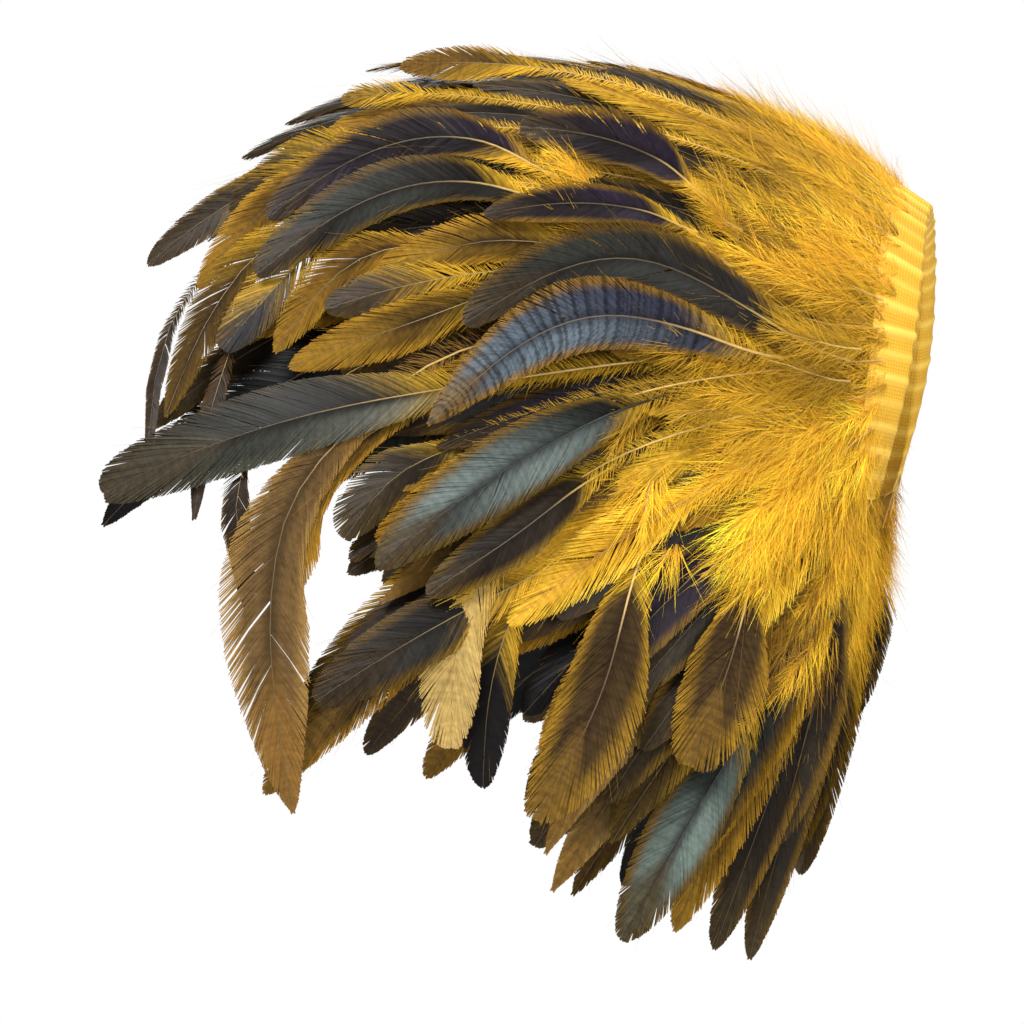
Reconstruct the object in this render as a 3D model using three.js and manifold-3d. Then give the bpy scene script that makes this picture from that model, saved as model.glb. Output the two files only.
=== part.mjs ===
// A feather shoulder piece for the wearer's right shoulder, in millimetres, +Z up.
// A crescent of cloth arches over the shoulder from front to back. A folded tape binds its edge next
// to the neck, rows of feathers lie on it like roof tiles with the outermost row sewn first, and a
// row of down covers the quills beside the tape.
// The origin is in the fold of the tape at the top of its arch, where the piece sits on the shoulder.
// -X points out over the arm, +X to the neck and -Y to the wearer's front.
import * as THREE from "three";
import { mergeVertices } from "three/addons/utils/BufferGeometryUtils.js";
import Module from "manifold-3d";

const wasm = await Module();
wasm.setup();

// Driving dimensions. Lengths are in millimetres and angles in degrees. A place along the arch is a
// turn, which runs from -1 at the front end of the tape over 0 at the top to 1 at the back end.
const ARCH = {
  halfDepth: 60, // half the width of the arch from front to back
  halfHeight: 60, // from the top of the arch down to where it is widest
  endAngle: 118, // from the top to either end of the tape
  leanOut: 11, // how far both ends stand out towards the arm
};
const FLOW = {
  rootLift: 30, // rise of the cap above the arm's axis where it leaves the tape
  bend: 0.14, // how much of that rise is lost with each millimetre
  sag: 0.85, // pull of the weight at full reach, as a share of the feather's own direction
  sagPower: 2, // how late along its length a feather gives way
  reach: 260, // from the tape to the tips of the outermost row
  fanTop: -9, // how far the quills point up from square to the tape
  fanEnd: 70, // how far they point down at the tape's ends
  fanFrom: 0.45, // the turn where the quills start to swing down
};
const CAP = {
  wall: 1.5,
  topWidth: 92, // from the tape's fold to the outer hem
  endWidth: 36,
  taper: 2.5, // how late the crescent narrows towards its ends
  sections: 36,
};
const TAPE = {
  wall: 1.1,
  clear: 0.45, // round what it folds over
  width: 14,
  ribs: 36, // quills that show as ribs through the tape
  ribHeight: 0.35,
  stepsPerRib: 2,
};
const LAYER = {
  first: 2.4, // from the middle of the cap's wall to the middle of a row where it is sewn on
  pitch: 2.8, // between one row and the next one over it
  heading: 7, // width of the sewn strip that holds a row's quills
  headingHalf: 1.05, // half the thickness of that strip
  stagger: 0.55, // every other feather lies this far over or under the middle of its row
};
const BLADE = {
  half: 0.45, // half the thickness of a feather at its shaft
  step: 36, // spacing of its cross-sections
  room: 0.75, // widest half of a feather, as a share of the distance to the next one
  rootWidth: 0.4, // width at the quill, as a share of the full width
  fullAt: 0.55, // where it is widest, as a share of its length
  tipWidth: 0.22,
};

// One line for each row, from the outermost to the one beside the tape. share is where the row is
// sewn across the crescent, span how far it runs towards the ends, and spread how fast it stands off
// the row below it. ODD lists the feathers that are much longer or shorter than the rest of their row, by
// their place from the front.
const ROWS = [
  { name: "outer_feather_row", share: 0.9, span: 0.84, count: 23, length: 168, width: 21, spread: 0 },
  { name: "bronze_feather_row", share: 0.6, span: 0.93, count: 24, length: 160, width: 21, spread: 0.05 },
  { name: "middle_feather_row", share: 0.3, span: 1, count: 24, length: 148, width: 19, spread: 0.1 },
  { name: "tape_feather_row", share: 0.02, span: 1, count: 24, length: 112, width: 17, spread: 0.13 },
];
const ODD = [
  { row: "outer_feather_row", place: 1, times: 0.76 },
  { row: "outer_feather_row", place: 2, times: 0.7 },
  { row: "outer_feather_row", place: 3, times: 1.13 },
  { row: "outer_feather_row", place: 4, times: 0.82 },
  { row: "outer_feather_row", place: 6, times: 1.22 },
  { row: "outer_feather_row", place: 11, times: 0.86 },
  { row: "outer_feather_row", place: 17, times: 0.8 },
  { row: "outer_feather_row", place: 19, times: 1.13 },
  { row: "outer_feather_row", place: 21, times: 0.76 },
  { row: "bronze_feather_row", place: 3, times: 0.82 },
  { row: "bronze_feather_row", place: 12, times: 0.86 },
  { row: "bronze_feather_row", place: 20, times: 0.84 },
  { row: "middle_feather_row", place: 0, times: 1.1 },
  { row: "middle_feather_row", place: 23, times: 1.1 },
];
const ROW_COLOUR = {
  outer_feather_row: 0x4a4436,
  bronze_feather_row: 0x3a3a3c,
  middle_feather_row: 0x7a5a24,
  tape_feather_row: 0xc2921f,
};
const DOWN = {
  name: "down_row",
  span: 0.98,
  count: 18,
  overlap: 0.64, // tufts are this much of the distance to the next one wide
  start: 15, // from the tape's fold
  length: 46,
  width: 28,
  half: 2.4, // half the thickness of a tuft
  clear: 0.3, // over the feathers below
  spread: 0.05,
};
const ENDS = { length: 0.8, from: 0.35 }; // feathers grow shorter from a turn on, to a share at the ends
const UNEVEN = { length: 0.1, drift: 0.2 }; // how much the feathers of one row differ

const FINISH = {
  cloth: { color: 0xd9a520, roughness: 0.95, metalness: 0 },
  tape: { color: 0xf2c230, roughness: 0.55, metalness: 0 },
  down: { color: 0xe8b018, roughness: 1, metalness: 0 },
  feather: { roughness: 0.45, metalness: 0 },
};

const OUT = new THREE.Vector3(-1, 0, 0);
const UP = new THREE.Vector3(0, 0, 1);
const WALK = 4; // length of a step when a flow line is followed

const radians = THREE.MathUtils.degToRad;
const { clamp, lerp, smoothstep } = THREE.MathUtils;

// An even but irregular number from -0.5 to 0.5 for the nth feather of a row.
function uneven(n, row) {
  const golden = 0.6180339887;
  const turned = n * golden + row * 0.37 + 0.11;
  return turned - Math.floor(turned) - 0.5;
}

// The fold of the tape at a turn, with the ways along it, off it and out from it.
function archFrame(turn) {
  const angle = radians(ARCH.endAngle) * turn;
  const z = -ARCH.halfHeight * (1 - Math.cos(angle));
  const endDrop = ARCH.halfHeight * (1 - Math.cos(radians(ARCH.endAngle)));
  const x = -ARCH.leanOut * (z / endDrop) ** 2;
  const place = new THREE.Vector3(x, ARCH.halfDepth * Math.sin(angle), z);
  const off = new THREE.Vector3(0, Math.sin(angle) / ARCH.halfDepth, Math.cos(angle) / ARCH.halfHeight);
  off.normalize();
  const down = new THREE.Vector3().crossVectors(OUT, off).multiplyScalar(turn < 0 ? -1 : 1);
  return { place, off, down };
}

// The way that the cap and the feathers run, at a distance from the tape's fold.
function flowDirection(turn, distance) {
  const { off, down } = archFrame(turn);
  const swing = smoothstep(Math.abs(turn), FLOW.fanFrom, 1);
  const rise = FLOW.fanTop * smoothstep(Math.abs(turn), 0, FLOW.fanFrom);
  const fan = radians(lerp(rise, FLOW.fanEnd, swing));
  const lift = radians(FLOW.rootLift - FLOW.bend * distance);
  const sag = FLOW.sag * clamp(distance / FLOW.reach, 0, 2) ** FLOW.sagPower;
  return new THREE.Vector3()
    .addScaledVector(OUT, Math.cos(lift) * Math.cos(fan))
    .addScaledVector(down, Math.cos(lift) * Math.sin(fan))
    .addScaledVector(off, Math.sin(lift))
    .addScaledVector(UP, -sag)
    .normalize();
}

// A point at a turn, a distance along the flow from the tape's fold and a height over the cap.
function flowPoint(turn, distance, height) {
  const { place, off } = archFrame(turn);
  const steps = Math.max(1, Math.round(Math.abs(distance) / WALK));
  const length = distance / steps;
  for (let i = 0; i < steps; i++) {
    place.addScaledVector(flowDirection(turn, Math.max(0, (i + 0.5) * length)), length);
  }
  const way = flowDirection(turn, Math.max(0, distance));
  const normal = off.clone().addScaledVector(way, -off.dot(way)).normalize();
  return place.addScaledVector(normal, height);
}

// Width of the crescent at a turn.
function capWidth(turn) {
  const narrow = Math.min(1, Math.abs(turn)) ** CAP.taper;
  return lerp(CAP.topWidth, CAP.endWidth, narrow);
}

// Height of a row over the cap: it is sewn to the cloth, climbs over the rows outside it and then
// stands further off them.
function rowHeight(turn, distance, row) {
  const width = capWidth(turn);
  const between = (ROWS[0].share - ROWS[1].share) * width;
  const index = ROWS.indexOf(row);
  const climb = clamp((distance - row.share * width) / between, 0, index);
  const past = Math.max(0, distance - ROWS[0].share * width);
  return LAYER.first + LAYER.pitch * climb + row.spread * past;
}

// Triangles of a tube of equal rings, with both ends closed.
function ringFaces(rings, ringSize) {
  const faces = [];
  for (let i = 0; i < rings - 1; i++) {
    for (let j = 0; j < ringSize; j++) {
      const next = (j + 1) % ringSize;
      const [a, b] = [i * ringSize + j, i * ringSize + next];
      faces.push(a, b, a + ringSize, b, b + ringSize, a + ringSize);
    }
  }
  const last = (rings - 1) * ringSize;
  for (let j = 1; j < ringSize - 1; j++) {
    faces.push(0, j + 1, j, last, last + j, last + j + 1);
  }
  return faces;
}

// A closed solid through a list of rings of points.
function loft(rings) {
  const points = rings.flat();
  const geometry = new THREE.BufferGeometry();
  const numbers = new Float32Array(points.flatMap((p) => [p.x, p.y, p.z]));
  geometry.setAttribute("position", new THREE.BufferAttribute(numbers, 3));
  geometry.setIndex(ringFaces(rings.length, rings[0].length));
  return solidOf(geometry);
}

// A geometry as a solid that can be joined, with its faces turned out.
function solidOf(geometry) {
  const merged = mergeVertices(geometry);
  const triVerts = new Uint32Array(merged.index.array);
  const vertProperties = merged.attributes.position.array;
  const made = new wasm.Manifold(new wasm.Mesh({ numProp: 3, vertProperties, triVerts }));
  if (made.volume() > 0) return made;
  for (let i = 0; i < triVerts.length; i += 3) {
    [triVerts[i + 1], triVerts[i + 2]] = [triVerts[i + 2], triVerts[i + 1]];
  }
  return new wasm.Manifold(new wasm.Mesh({ numProp: 3, vertProperties, triVerts }));
}

// A solid as a mesh with a name and a finish.
function meshOf(name, solid, finish) {
  const { vertProperties, triVerts } = solid.getMesh();
  const geometry = new THREE.BufferGeometry();
  geometry.setAttribute("position", new THREE.BufferAttribute(vertProperties, 3));
  geometry.setIndex(new THREE.BufferAttribute(triVerts, 1));
  geometry.computeVertexNormals();
  const mesh = new THREE.Mesh(geometry, new THREE.MeshStandardMaterial(finish));
  mesh.name = name;
  return mesh;
}

// Equal places from one end of an arch to the other.
function turns(span, sections) {
  return Array.from({ length: sections + 1 }, (_, i) => lerp(-span, span, i / sections));
}

// The cloth crescent that all rows are sewn to.
function cap() {
  const half = CAP.wall / 2;
  const rings = turns(1, CAP.sections).map((turn) => {
    const hem = capWidth(turn);
    const across = [0, TAPE.width, lerp(TAPE.width, hem, 0.5), hem];
    const top = across.map((distance) => flowPoint(turn, distance, half));
    const under = across.map((distance) => flowPoint(turn, distance, -half)).reverse();
    return [...top, ...under];
  });
  return meshOf("base_cloth", loft(rings), FINISH.cloth);
}

// The tape that is folded round the crescent's edge and the quills of the row beside it.
function tape() {
  const last = ROWS[ROWS.length - 1];
  const sections = TAPE.ribs * TAPE.stepsPerRib;
  const rings = turns(1, sections).map((turn, i) => {
    const rib = TAPE.ribHeight * (1 - Math.cos((2 * Math.PI * i) / TAPE.stepsPerRib));
    const overRow = (distance) => rowHeight(turn, distance, last) + LAYER.headingHalf + TAPE.clear;
    const underCap = -CAP.wall / 2 - TAPE.clear;
    const [fold, inside, edge] = [-TAPE.clear - TAPE.wall, -TAPE.clear, TAPE.width];
    return [
      flowPoint(turn, edge, overRow(edge) + TAPE.wall),
      flowPoint(turn, edge / 2, overRow(edge / 2) + TAPE.wall + rib),
      flowPoint(turn, inside, overRow(inside) + TAPE.wall + rib / 2),
      flowPoint(turn, fold, overRow(fold)),
      flowPoint(turn, fold, underCap),
      flowPoint(turn, inside, underCap - TAPE.wall),
      flowPoint(turn, edge, underCap - TAPE.wall),
      flowPoint(turn, edge, underCap),
      flowPoint(turn, inside, underCap),
      flowPoint(turn, inside, overRow(inside)),
      flowPoint(turn, edge, overRow(edge)),
    ];
  });
  return meshOf("edge_tape", loft(rings), FINISH.tape);
}

// Width of a feather at a share of its length.
function bladeWidth(share) {
  const grown = Math.min(1, share / BLADE.fullAt);
  if (grown < 1) return lerp(BLADE.rootWidth, 1, Math.sin((grown * Math.PI) / 2));
  const past = (share - BLADE.fullAt) / (1 - BLADE.fullAt);
  return Math.sqrt(Math.max(BLADE.tipWidth ** 2, 1 - past ** 2.6));
}

// Millimetres across the flow for one unit of turn.
function acrossOneTurn(turn, distance) {
  const aside = 0.01;
  const before = flowPoint(turn - aside, distance, 0);
  return flowPoint(turn + aside, distance, 0).distanceTo(before) / (2 * aside);
}

// Turns for the feathers of a row, at equal distances from each other part of the way along them.
function evenTurns(span, count, distance) {
  const fine = turns(span, 200);
  const along = [0];
  for (let i = 1; i < fine.length; i++) {
    const step = flowPoint(fine[i], distance, 0).distanceTo(flowPoint(fine[i - 1], distance, 0));
    along.push(along[i - 1] + step);
  }
  const total = along[along.length - 1];
  return Array.from({ length: count }, (_, n) => {
    const wanted = ((n + 0.5) / count) * total;
    const i = along.findIndex((length) => length > wanted);
    const share = (wanted - along[i - 1]) / (along[i] - along[i - 1]);
    return lerp(fine[i - 1], fine[i], share);
  });
}

// Distances where all feathers near a turn bend: over the seam of each row and then at equal steps.
function bendsAt(turn) {
  const seams = ROWS.map((row) => row.share * capWidth(turn)).reverse();
  const hem = seams[seams.length - 1];
  const steps = Array.from({ length: 8 }, (_, i) => hem + (i + 1) * BLADE.step);
  return [...seams, ...steps];
}

// One feather as a thin blade along the flow, at the middle height that heightAt gives. room is the
// turn between it and the next feather.
function blade(turn, room, start, length, width, half, drift, heightAt) {
  const end = start + length;
  const bends = bendsAt(turn).filter((distance) => distance > start + 4 && distance < end - 18);
  const distances = [start, ...bends, lerp(start, end, 0.96), end];
  const rings = distances.map((distance) => {
    const share = (distance - start) / length;
    const middle = turn + drift * share;
    const wanted = (width * bladeWidth(share)) / 2 / acrossOneTurn(middle, distance);
    const aside = Math.min(wanted, BLADE.room * room);
    const at = (place, over) => flowPoint(place, distance, heightAt(place, distance) + over);
    return [at(middle - aside, 0), at(middle, half), at(middle + aside, 0), at(middle, -half)];
  });
  return loft(rings);
}

// The sewn strip along a row, that its feathers are fused to.
function heading(span, startAt, heightAt, half) {
  const rings = turns(span, CAP.sections).map((turn) => {
    const start = startAt(turn);
    const end = start + LAYER.heading;
    return [
      flowPoint(turn, start, heightAt(turn, start) + half),
      flowPoint(turn, end, heightAt(turn, end) + half),
      flowPoint(turn, end, heightAt(turn, end) - half),
      flowPoint(turn, start, heightAt(turn, start) - half),
    ];
  });
  return loft(rings);
}

// How much of its row's length a feather has at a turn.
function endShare(turn) {
  return lerp(1, ENDS.length, smoothstep(Math.abs(turn), ENDS.from, 1));
}

// A row of feathers fused to its heading.
function featherRow(row, index) {
  const startAt = (turn) => row.share * capWidth(turn);
  const heightAt = (turn, distance) => rowHeight(turn, distance, row);
  const places = evenTurns(row.span, row.count, row.share * CAP.topWidth + row.length / 3);
  let solid = heading(row.span, startAt, heightAt, LAYER.headingHalf);
  places.forEach((turn, i) => {
    const room = i ? turn - places[i - 1] : places[1] - turn;
    const odd = ODD.find((entry) => entry.row === row.name && entry.place === i);
    const times = endShare(turn) * (1 + 2 * UNEVEN.length * uneven(i, index)) * (odd ? odd.times : 1);
    const length = row.length * times;
    const drift = UNEVEN.drift * room * 2 * uneven(i, index + 7);
    const side = i % 2 ? LAYER.stagger : -LAYER.stagger;
    const at = (place, distance) => rowHeight(place, distance, row) + side;
    solid = solid.add(blade(turn, room, startAt(turn) + 1, length, row.width, BLADE.half, drift, at));
  });
  return meshOf(row.name, solid, { ...FINISH.feather, color: ROW_COLOUR[row.name] });
}

// The tufts of down beside the tape, over all rows.
function downRow() {
  const last = ROWS[ROWS.length - 1];
  const over = LAYER.headingHalf + DOWN.clear + DOWN.half;
  const heightAt = (turn, distance) => {
    const past = Math.max(0, distance - DOWN.start);
    return rowHeight(turn, distance, last) + over + DOWN.spread * past;
  };
  const places = evenTurns(DOWN.span, DOWN.count, DOWN.start + DOWN.length / 2);
  let solid = heading(DOWN.span, () => DOWN.start, heightAt, DOWN.half * 0.7);
  places.forEach((turn, i) => {
    const room = (i ? turn - places[i - 1] : places[1] - turn) * DOWN.overlap;
    const length = DOWN.length * (1 + 2 * UNEVEN.length * uneven(i, 11));
    solid = solid.add(blade(turn, room, DOWN.start + 1, length, DOWN.width, DOWN.half, 0, heightAt));
  });
  return meshOf(DOWN.name, solid, FINISH.down);
}

const shoulderPiece = new THREE.Group();
shoulderPiece.add(cap(), tape(), ...ROWS.map(featherRow), downRow());

export default shoulderPiece;
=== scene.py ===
"""A feather shoulder piece for the right shoulder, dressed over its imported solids.

All shapes follow one surface that leaves the tape and bends over the shoulder. A place on it is a turn
along the tape's arch, from -1 at the front end to 1 at the back end, a distance from the tape's fold and
a height over the cloth. Shapes are worked out in millimetres and made into meshes in metres.
"""

import logging
import math
from dataclasses import dataclass, field
from enum import Enum
from functools import cached_property

import bmesh
import bpy
import numpy as np
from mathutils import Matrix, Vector


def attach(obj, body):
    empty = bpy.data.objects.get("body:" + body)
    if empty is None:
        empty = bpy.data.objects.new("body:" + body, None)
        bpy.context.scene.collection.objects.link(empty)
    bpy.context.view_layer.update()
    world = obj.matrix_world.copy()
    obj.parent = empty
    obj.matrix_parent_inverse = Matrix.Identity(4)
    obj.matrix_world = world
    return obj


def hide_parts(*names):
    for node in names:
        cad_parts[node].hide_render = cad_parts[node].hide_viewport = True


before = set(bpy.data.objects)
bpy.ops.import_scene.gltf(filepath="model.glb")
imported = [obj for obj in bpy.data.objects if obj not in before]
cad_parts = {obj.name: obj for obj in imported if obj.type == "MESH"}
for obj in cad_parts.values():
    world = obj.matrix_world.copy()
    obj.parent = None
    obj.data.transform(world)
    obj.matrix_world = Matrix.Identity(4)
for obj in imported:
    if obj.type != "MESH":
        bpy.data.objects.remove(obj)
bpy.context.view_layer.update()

Array = np.ndarray
Pair = tuple[float, float]
Triple = tuple[float, float, float]
Socket = bpy.types.NodeSocket
Material = bpy.types.Material

LOG = logging.getLogger("shoulder_piece")
MM = 0.001
BODY = "root"
SEED = 7
# Parts of one that spread places evenly: the step from place to place, from use to use, and the first.
GOLDEN, USE_STEP, FIRST_STEP = 0.6180339887, 0.37, 0.11
OUT = np.array([-1.0, 0.0, 0.0])
UP = np.array([0.0, 0.0, 1.0])
FRONT = np.array([0.0, -1.0, 0.0])
# The camera's place, and the upright plane on which places in its view are given, in millimetres.
EYE = (126.0, -2800.0, -49.0)
PLANE = -50.0


def smoothstep(value: Array | float, low: float, high: float) -> Array:
    """Rises smoothly from 0 at low to 1 at high."""
    share = np.clip((np.asarray(value, float) - low) / (high - low), 0.0, 1.0)
    return share * share * (3.0 - 2.0 * share)


def unit(vectors: Array) -> Array:
    """Scales vectors to length 1."""
    return vectors / np.maximum(np.linalg.norm(vectors, axis=-1, keepdims=True), 1e-9)


def mix(start: Array, end: Array, share: Array | float) -> Array:
    """Blends two values by a share."""
    return start + (end - start) * share


def uneven(place: Array | int, row: int) -> Array:
    """Gives an even but irregular number from -0.5 to 0.5.

    Args:
        place: The feather's place in its row.
        row: A number that tells one use from another.

    Returns:
        The number, the same one on every run.
    """
    turned = np.asarray(place) * GOLDEN + row * USE_STEP + FIRST_STEP
    return turned - np.floor(turned) - 0.5


def linear(red: float, green: float, blue: float) -> Array:
    """Turns a colour with parts from 0 to 255 into scene linear light."""
    parts = np.array([red, green, blue], float) / 255.0
    return np.where(parts <= 0.04045, parts / 12.92, ((parts + 0.055) / 1.055) ** 2.4)


@dataclass(frozen=True)
class Flow:
    """The surface that the cloth and all feathers follow, in millimetres and degrees."""

    half_depth: float = 60.0
    half_height: float = 60.0
    end_angle: float = 118.0
    lean_out: float = 11.0
    root_lift: float = 30.0
    bend: float = 0.14
    sag: float = 0.85
    sag_power: float = 2.0
    reach: float = 260.0
    fan_top: float = -9.0
    fan_end: float = 70.0
    fan_from: float = 0.45
    top_width: float = 92.0
    end_width: float = 36.0
    taper: float = 2.5
    first_layer: float = 2.4
    pitch: float = 2.8
    hem_share: float = 0.9
    row_share: float = 0.3
    spreads: tuple[float, ...] = (0.0, 0.05, 0.1, 0.13)
    steps: int = 48
    fine_steps: int = 801
    even_steps: int = 201
    steepest: float = 0.5
    shown_rise: float = 0.08
    shown_from: float = 60.0
    front_turns: tuple[float, float, int] = (-1.0, 0.05, 106)
    front_reach: tuple[float, float, int] = (0.0, 300.0, 151)
    # How bright the down is along the arch: partly its own colour, darker about turn -0.65, and partly
    # painted light that brightens the lower front about turn -0.75 and the top.
    down_dye_and_light_turns: tuple[float, ...] = (-0.9, -0.83, -0.79, -0.72, -0.67, -0.6, -0.48, 0.0)
    down_dye_and_light_levels: tuple[float, ...] = (0.95, 1.0, 1.22, 1.22, 0.74, 0.76, 1.05, 1.14)

    def arch(self, turn: Array) -> tuple[Array, Array, Array]:
        """Gives the tape's fold at a turn.

        Args:
            turn: Places along the arch.

        Returns:
            The points of the fold, and the ways off it and down along it.
        """
        angle = np.radians(self.end_angle) * turn
        drop = self.half_height * (1.0 - np.cos(angle))
        end_drop = self.half_height * (1.0 - math.cos(math.radians(self.end_angle)))
        along = self.half_depth * np.sin(angle)
        place = np.stack([-self.lean_out * (drop / end_drop) ** 2, along, -drop], -1)
        slope = [0.0 * angle, np.sin(angle) / self.half_depth, np.cos(angle) / self.half_height]
        off = unit(np.stack(slope, -1))
        down = np.cross(OUT, off) * np.where(turn < 0.0, -1.0, 1.0)[..., None]
        return place, off, down

    def fan(self, turn: Array) -> Array:
        """Gives how far the quills point down at a turn, in radians."""
        rise = self.fan_top * smoothstep(np.abs(turn), 0.0, self.fan_from)
        return np.radians(mix(rise, self.fan_end, smoothstep(np.abs(turn), self.fan_from, 1.0)))

    def square_off(self, turn: Array, away: Array) -> tuple[Array, Array]:
        """Finds points that lie straight off the fold, where the quills run slantwise.

        Args:
            turn: Places along the arch.
            away: Distances from the fold there.

        Returns:
            The turns and distances of the quills that pass through these points.
        """
        fine = np.linspace(0.0, 1.0, self.fine_steps)
        arc = self.half_depth * math.radians(self.end_angle)
        passed = fine * arc + away[..., None] * np.tan(np.maximum(self.fan(fine), 0.0))
        short = np.abs(np.abs(turn)[..., None] * arc - passed)
        found = fine[np.argmin(short, axis=-1)]
        return found * np.sign(turn), away / np.cos(self.fan(found))

    def slant(self, turn: Array) -> Array:
        """Gives how much longer a way is along the quills than straight off the fold."""
        return 1.0 / np.maximum(np.cos(self.fan(turn)), self.steepest)

    def direction(self, turn: Array, distance: Array) -> Array:
        """Gives the way that feathers run.

        Args:
            turn: Places along the arch.
            distance: Distances from the tape's fold.

        Returns:
            The ways, each of length 1.
        """
        _, off, down = self.arch(turn)
        fan = self.fan(turn)
        lift = np.radians(self.root_lift - self.bend * distance)
        sag = self.sag * np.clip(distance / self.reach, 0.0, 2.0) ** self.sag_power
        level = np.cos(lift)
        way = (level * np.cos(fan))[..., None] * OUT + (level * np.sin(fan))[..., None] * down
        return unit(way + np.sin(lift)[..., None] * off - sag[..., None] * UP)

    def place(
        self, turn: Array, distance: Array, height: Array | float
    ) -> tuple[Array, Array]:
        """Finds points over the surface.

        Args:
            turn: Places along the arch.
            distance: Distances from the tape's fold.
            height: Heights over the middle of the cloth.

        Returns:
            The points, and the ways off the surface there.
        """
        turn, distance = np.broadcast_arrays(np.asarray(turn, float), np.asarray(distance, float))
        point, off, _ = self.arch(turn)
        step = distance / self.steps
        for i in range(self.steps):
            point = point + self.direction(turn, np.maximum((i + 0.5) * step, 0.0)) * step[..., None]
        way = self.direction(turn, np.maximum(distance, 0.0))
        normal = unit(off - np.sum(off * way, -1, keepdims=True) * way)
        return point + normal * np.broadcast_to(height, turn.shape)[..., None], normal

    def cap_width(self, turn: Array) -> Array:
        """Gives the width of the cloth at a turn."""
        narrow = np.minimum(np.abs(turn), 1.0) ** self.taper
        return mix(self.top_width, self.end_width, narrow)

    def layer_height(self, turn: Array, distance: Array, layer: float) -> Array:
        """Gives the height of a layer of feathers.

        Args:
            turn: Places along the arch.
            distance: Distances from the tape's fold.
            layer: The layer, where 0 is the outermost row and 3 the one beside the tape.

        Returns:
            Heights over the middle of the cloth.
        """
        width = self.cap_width(turn)
        seam = (self.hem_share - self.row_share * layer) * width
        climb = np.clip((distance - seam) / (self.row_share * width), 0.0, max(layer, 0.0))
        spread = np.interp(layer, range(len(self.spreads)), self.spreads)
        past = np.maximum(distance - self.hem_share * width, 0.0)
        return self.first_layer + self.pitch * climb + spread * past

    def even_turns(self, span: float, count: int, distance: float) -> Array:
        """Spaces turns evenly along a line over the surface.

        Args:
            span: The turn at the line's end.
            count: How many turns there are.
            distance: The line's distance from the tape's fold.

        Returns:
            The turns, from the front to the back.
        """
        fine = np.linspace(-span, span, self.even_steps)
        points, _ = self.place(fine, np.full_like(fine, distance), 0.0)
        along = np.concatenate([[0.0], np.cumsum(np.linalg.norm(np.diff(points, axis=0), axis=1))])
        return np.interp((np.arange(count) + 0.5) / count * along[-1], along, fine)

    def shown_height(self, layer: float, distance: Array) -> Array:
        """Gives the height of a feather in plain sight, which rises a little along its way."""
        risen = self.shown_rise * np.maximum(distance - self.shown_from, 0.0)
        return self.first_layer + self.pitch * layer + risen

    def down_dye_and_painted_light(self, turn: Array | float) -> float:
        """Gives how bright the down is about a turn: partly its own colour, partly painted light on the
        lower front and the top.
        """
        return float(np.interp(np.mean(turn), self.down_dye_and_light_turns, self.down_dye_and_light_levels))

    @cached_property
    def front_grid(self) -> tuple[Array, Array, Array, Array]:
        """Turns, distances, points and the ways off the surface, all over the front half."""
        turns, distances = np.meshgrid(np.linspace(*self.front_turns), np.linspace(*self.front_reach))
        return turns, distances, *self.place(turns, distances, 0.0)

    def front_place(self, x: float, z: float, layer: float) -> Pair:
        """Finds where on the front half a point is that is seen at x and z.

        Args:
            x: Where it is seen from side to side, on an upright plane through the front half.
            z: Where it is seen up and down.
            layer: The layer that it lies on.

        Returns:
            Its turn and its distance from the fold.
        """
        turns, distances, points, normals = self.front_grid
        points = points + normals * self.shown_height(layer, distances)[..., None]
        eye = np.array(EYE)
        seen = eye + (points - eye) * ((PLANE - eye[1]) / (points[..., 1] - eye[1]))[..., None]
        miss = (seen[..., 0] - x) ** 2 + (seen[..., 2] - z) ** 2
        best = np.unravel_index(np.argmin(miss), miss.shape)
        return float(turns[best]), float(distances[best])


FLOW = Flow()
TAPE_LAYER = 3.0


@dataclass(frozen=True)
class Vane:
    """How one sort of feather is grown and coloured.

    Colours have parts from 0 to 255: beside the shaft, in the middle, at the rim and at the tip, then a
    painted sheen that stands in for the iridescent shimmer, the lower half where it differs, the down and
    the quill. Shares are of the feather's length, and the angle between barbs and shaft is in degrees.
    """

    shaft: Triple
    field: Triple
    rim: Triple
    end: Triple
    painted_sheen: Triple | None = None
    lower: Triple | None = None
    down: Triple = (216, 170, 41)
    quill: Triple = (206, 170, 96)
    down_share: float = 0.34
    end_share: float = 0.16
    angle: float = 38.0
    close: float = 3.4
    stray: float = 0.1
    loose: float = 0.0
    point: float = 0.3
    splits: int = 2
    bars: float = 0.15
    glossy: bool = True


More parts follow.
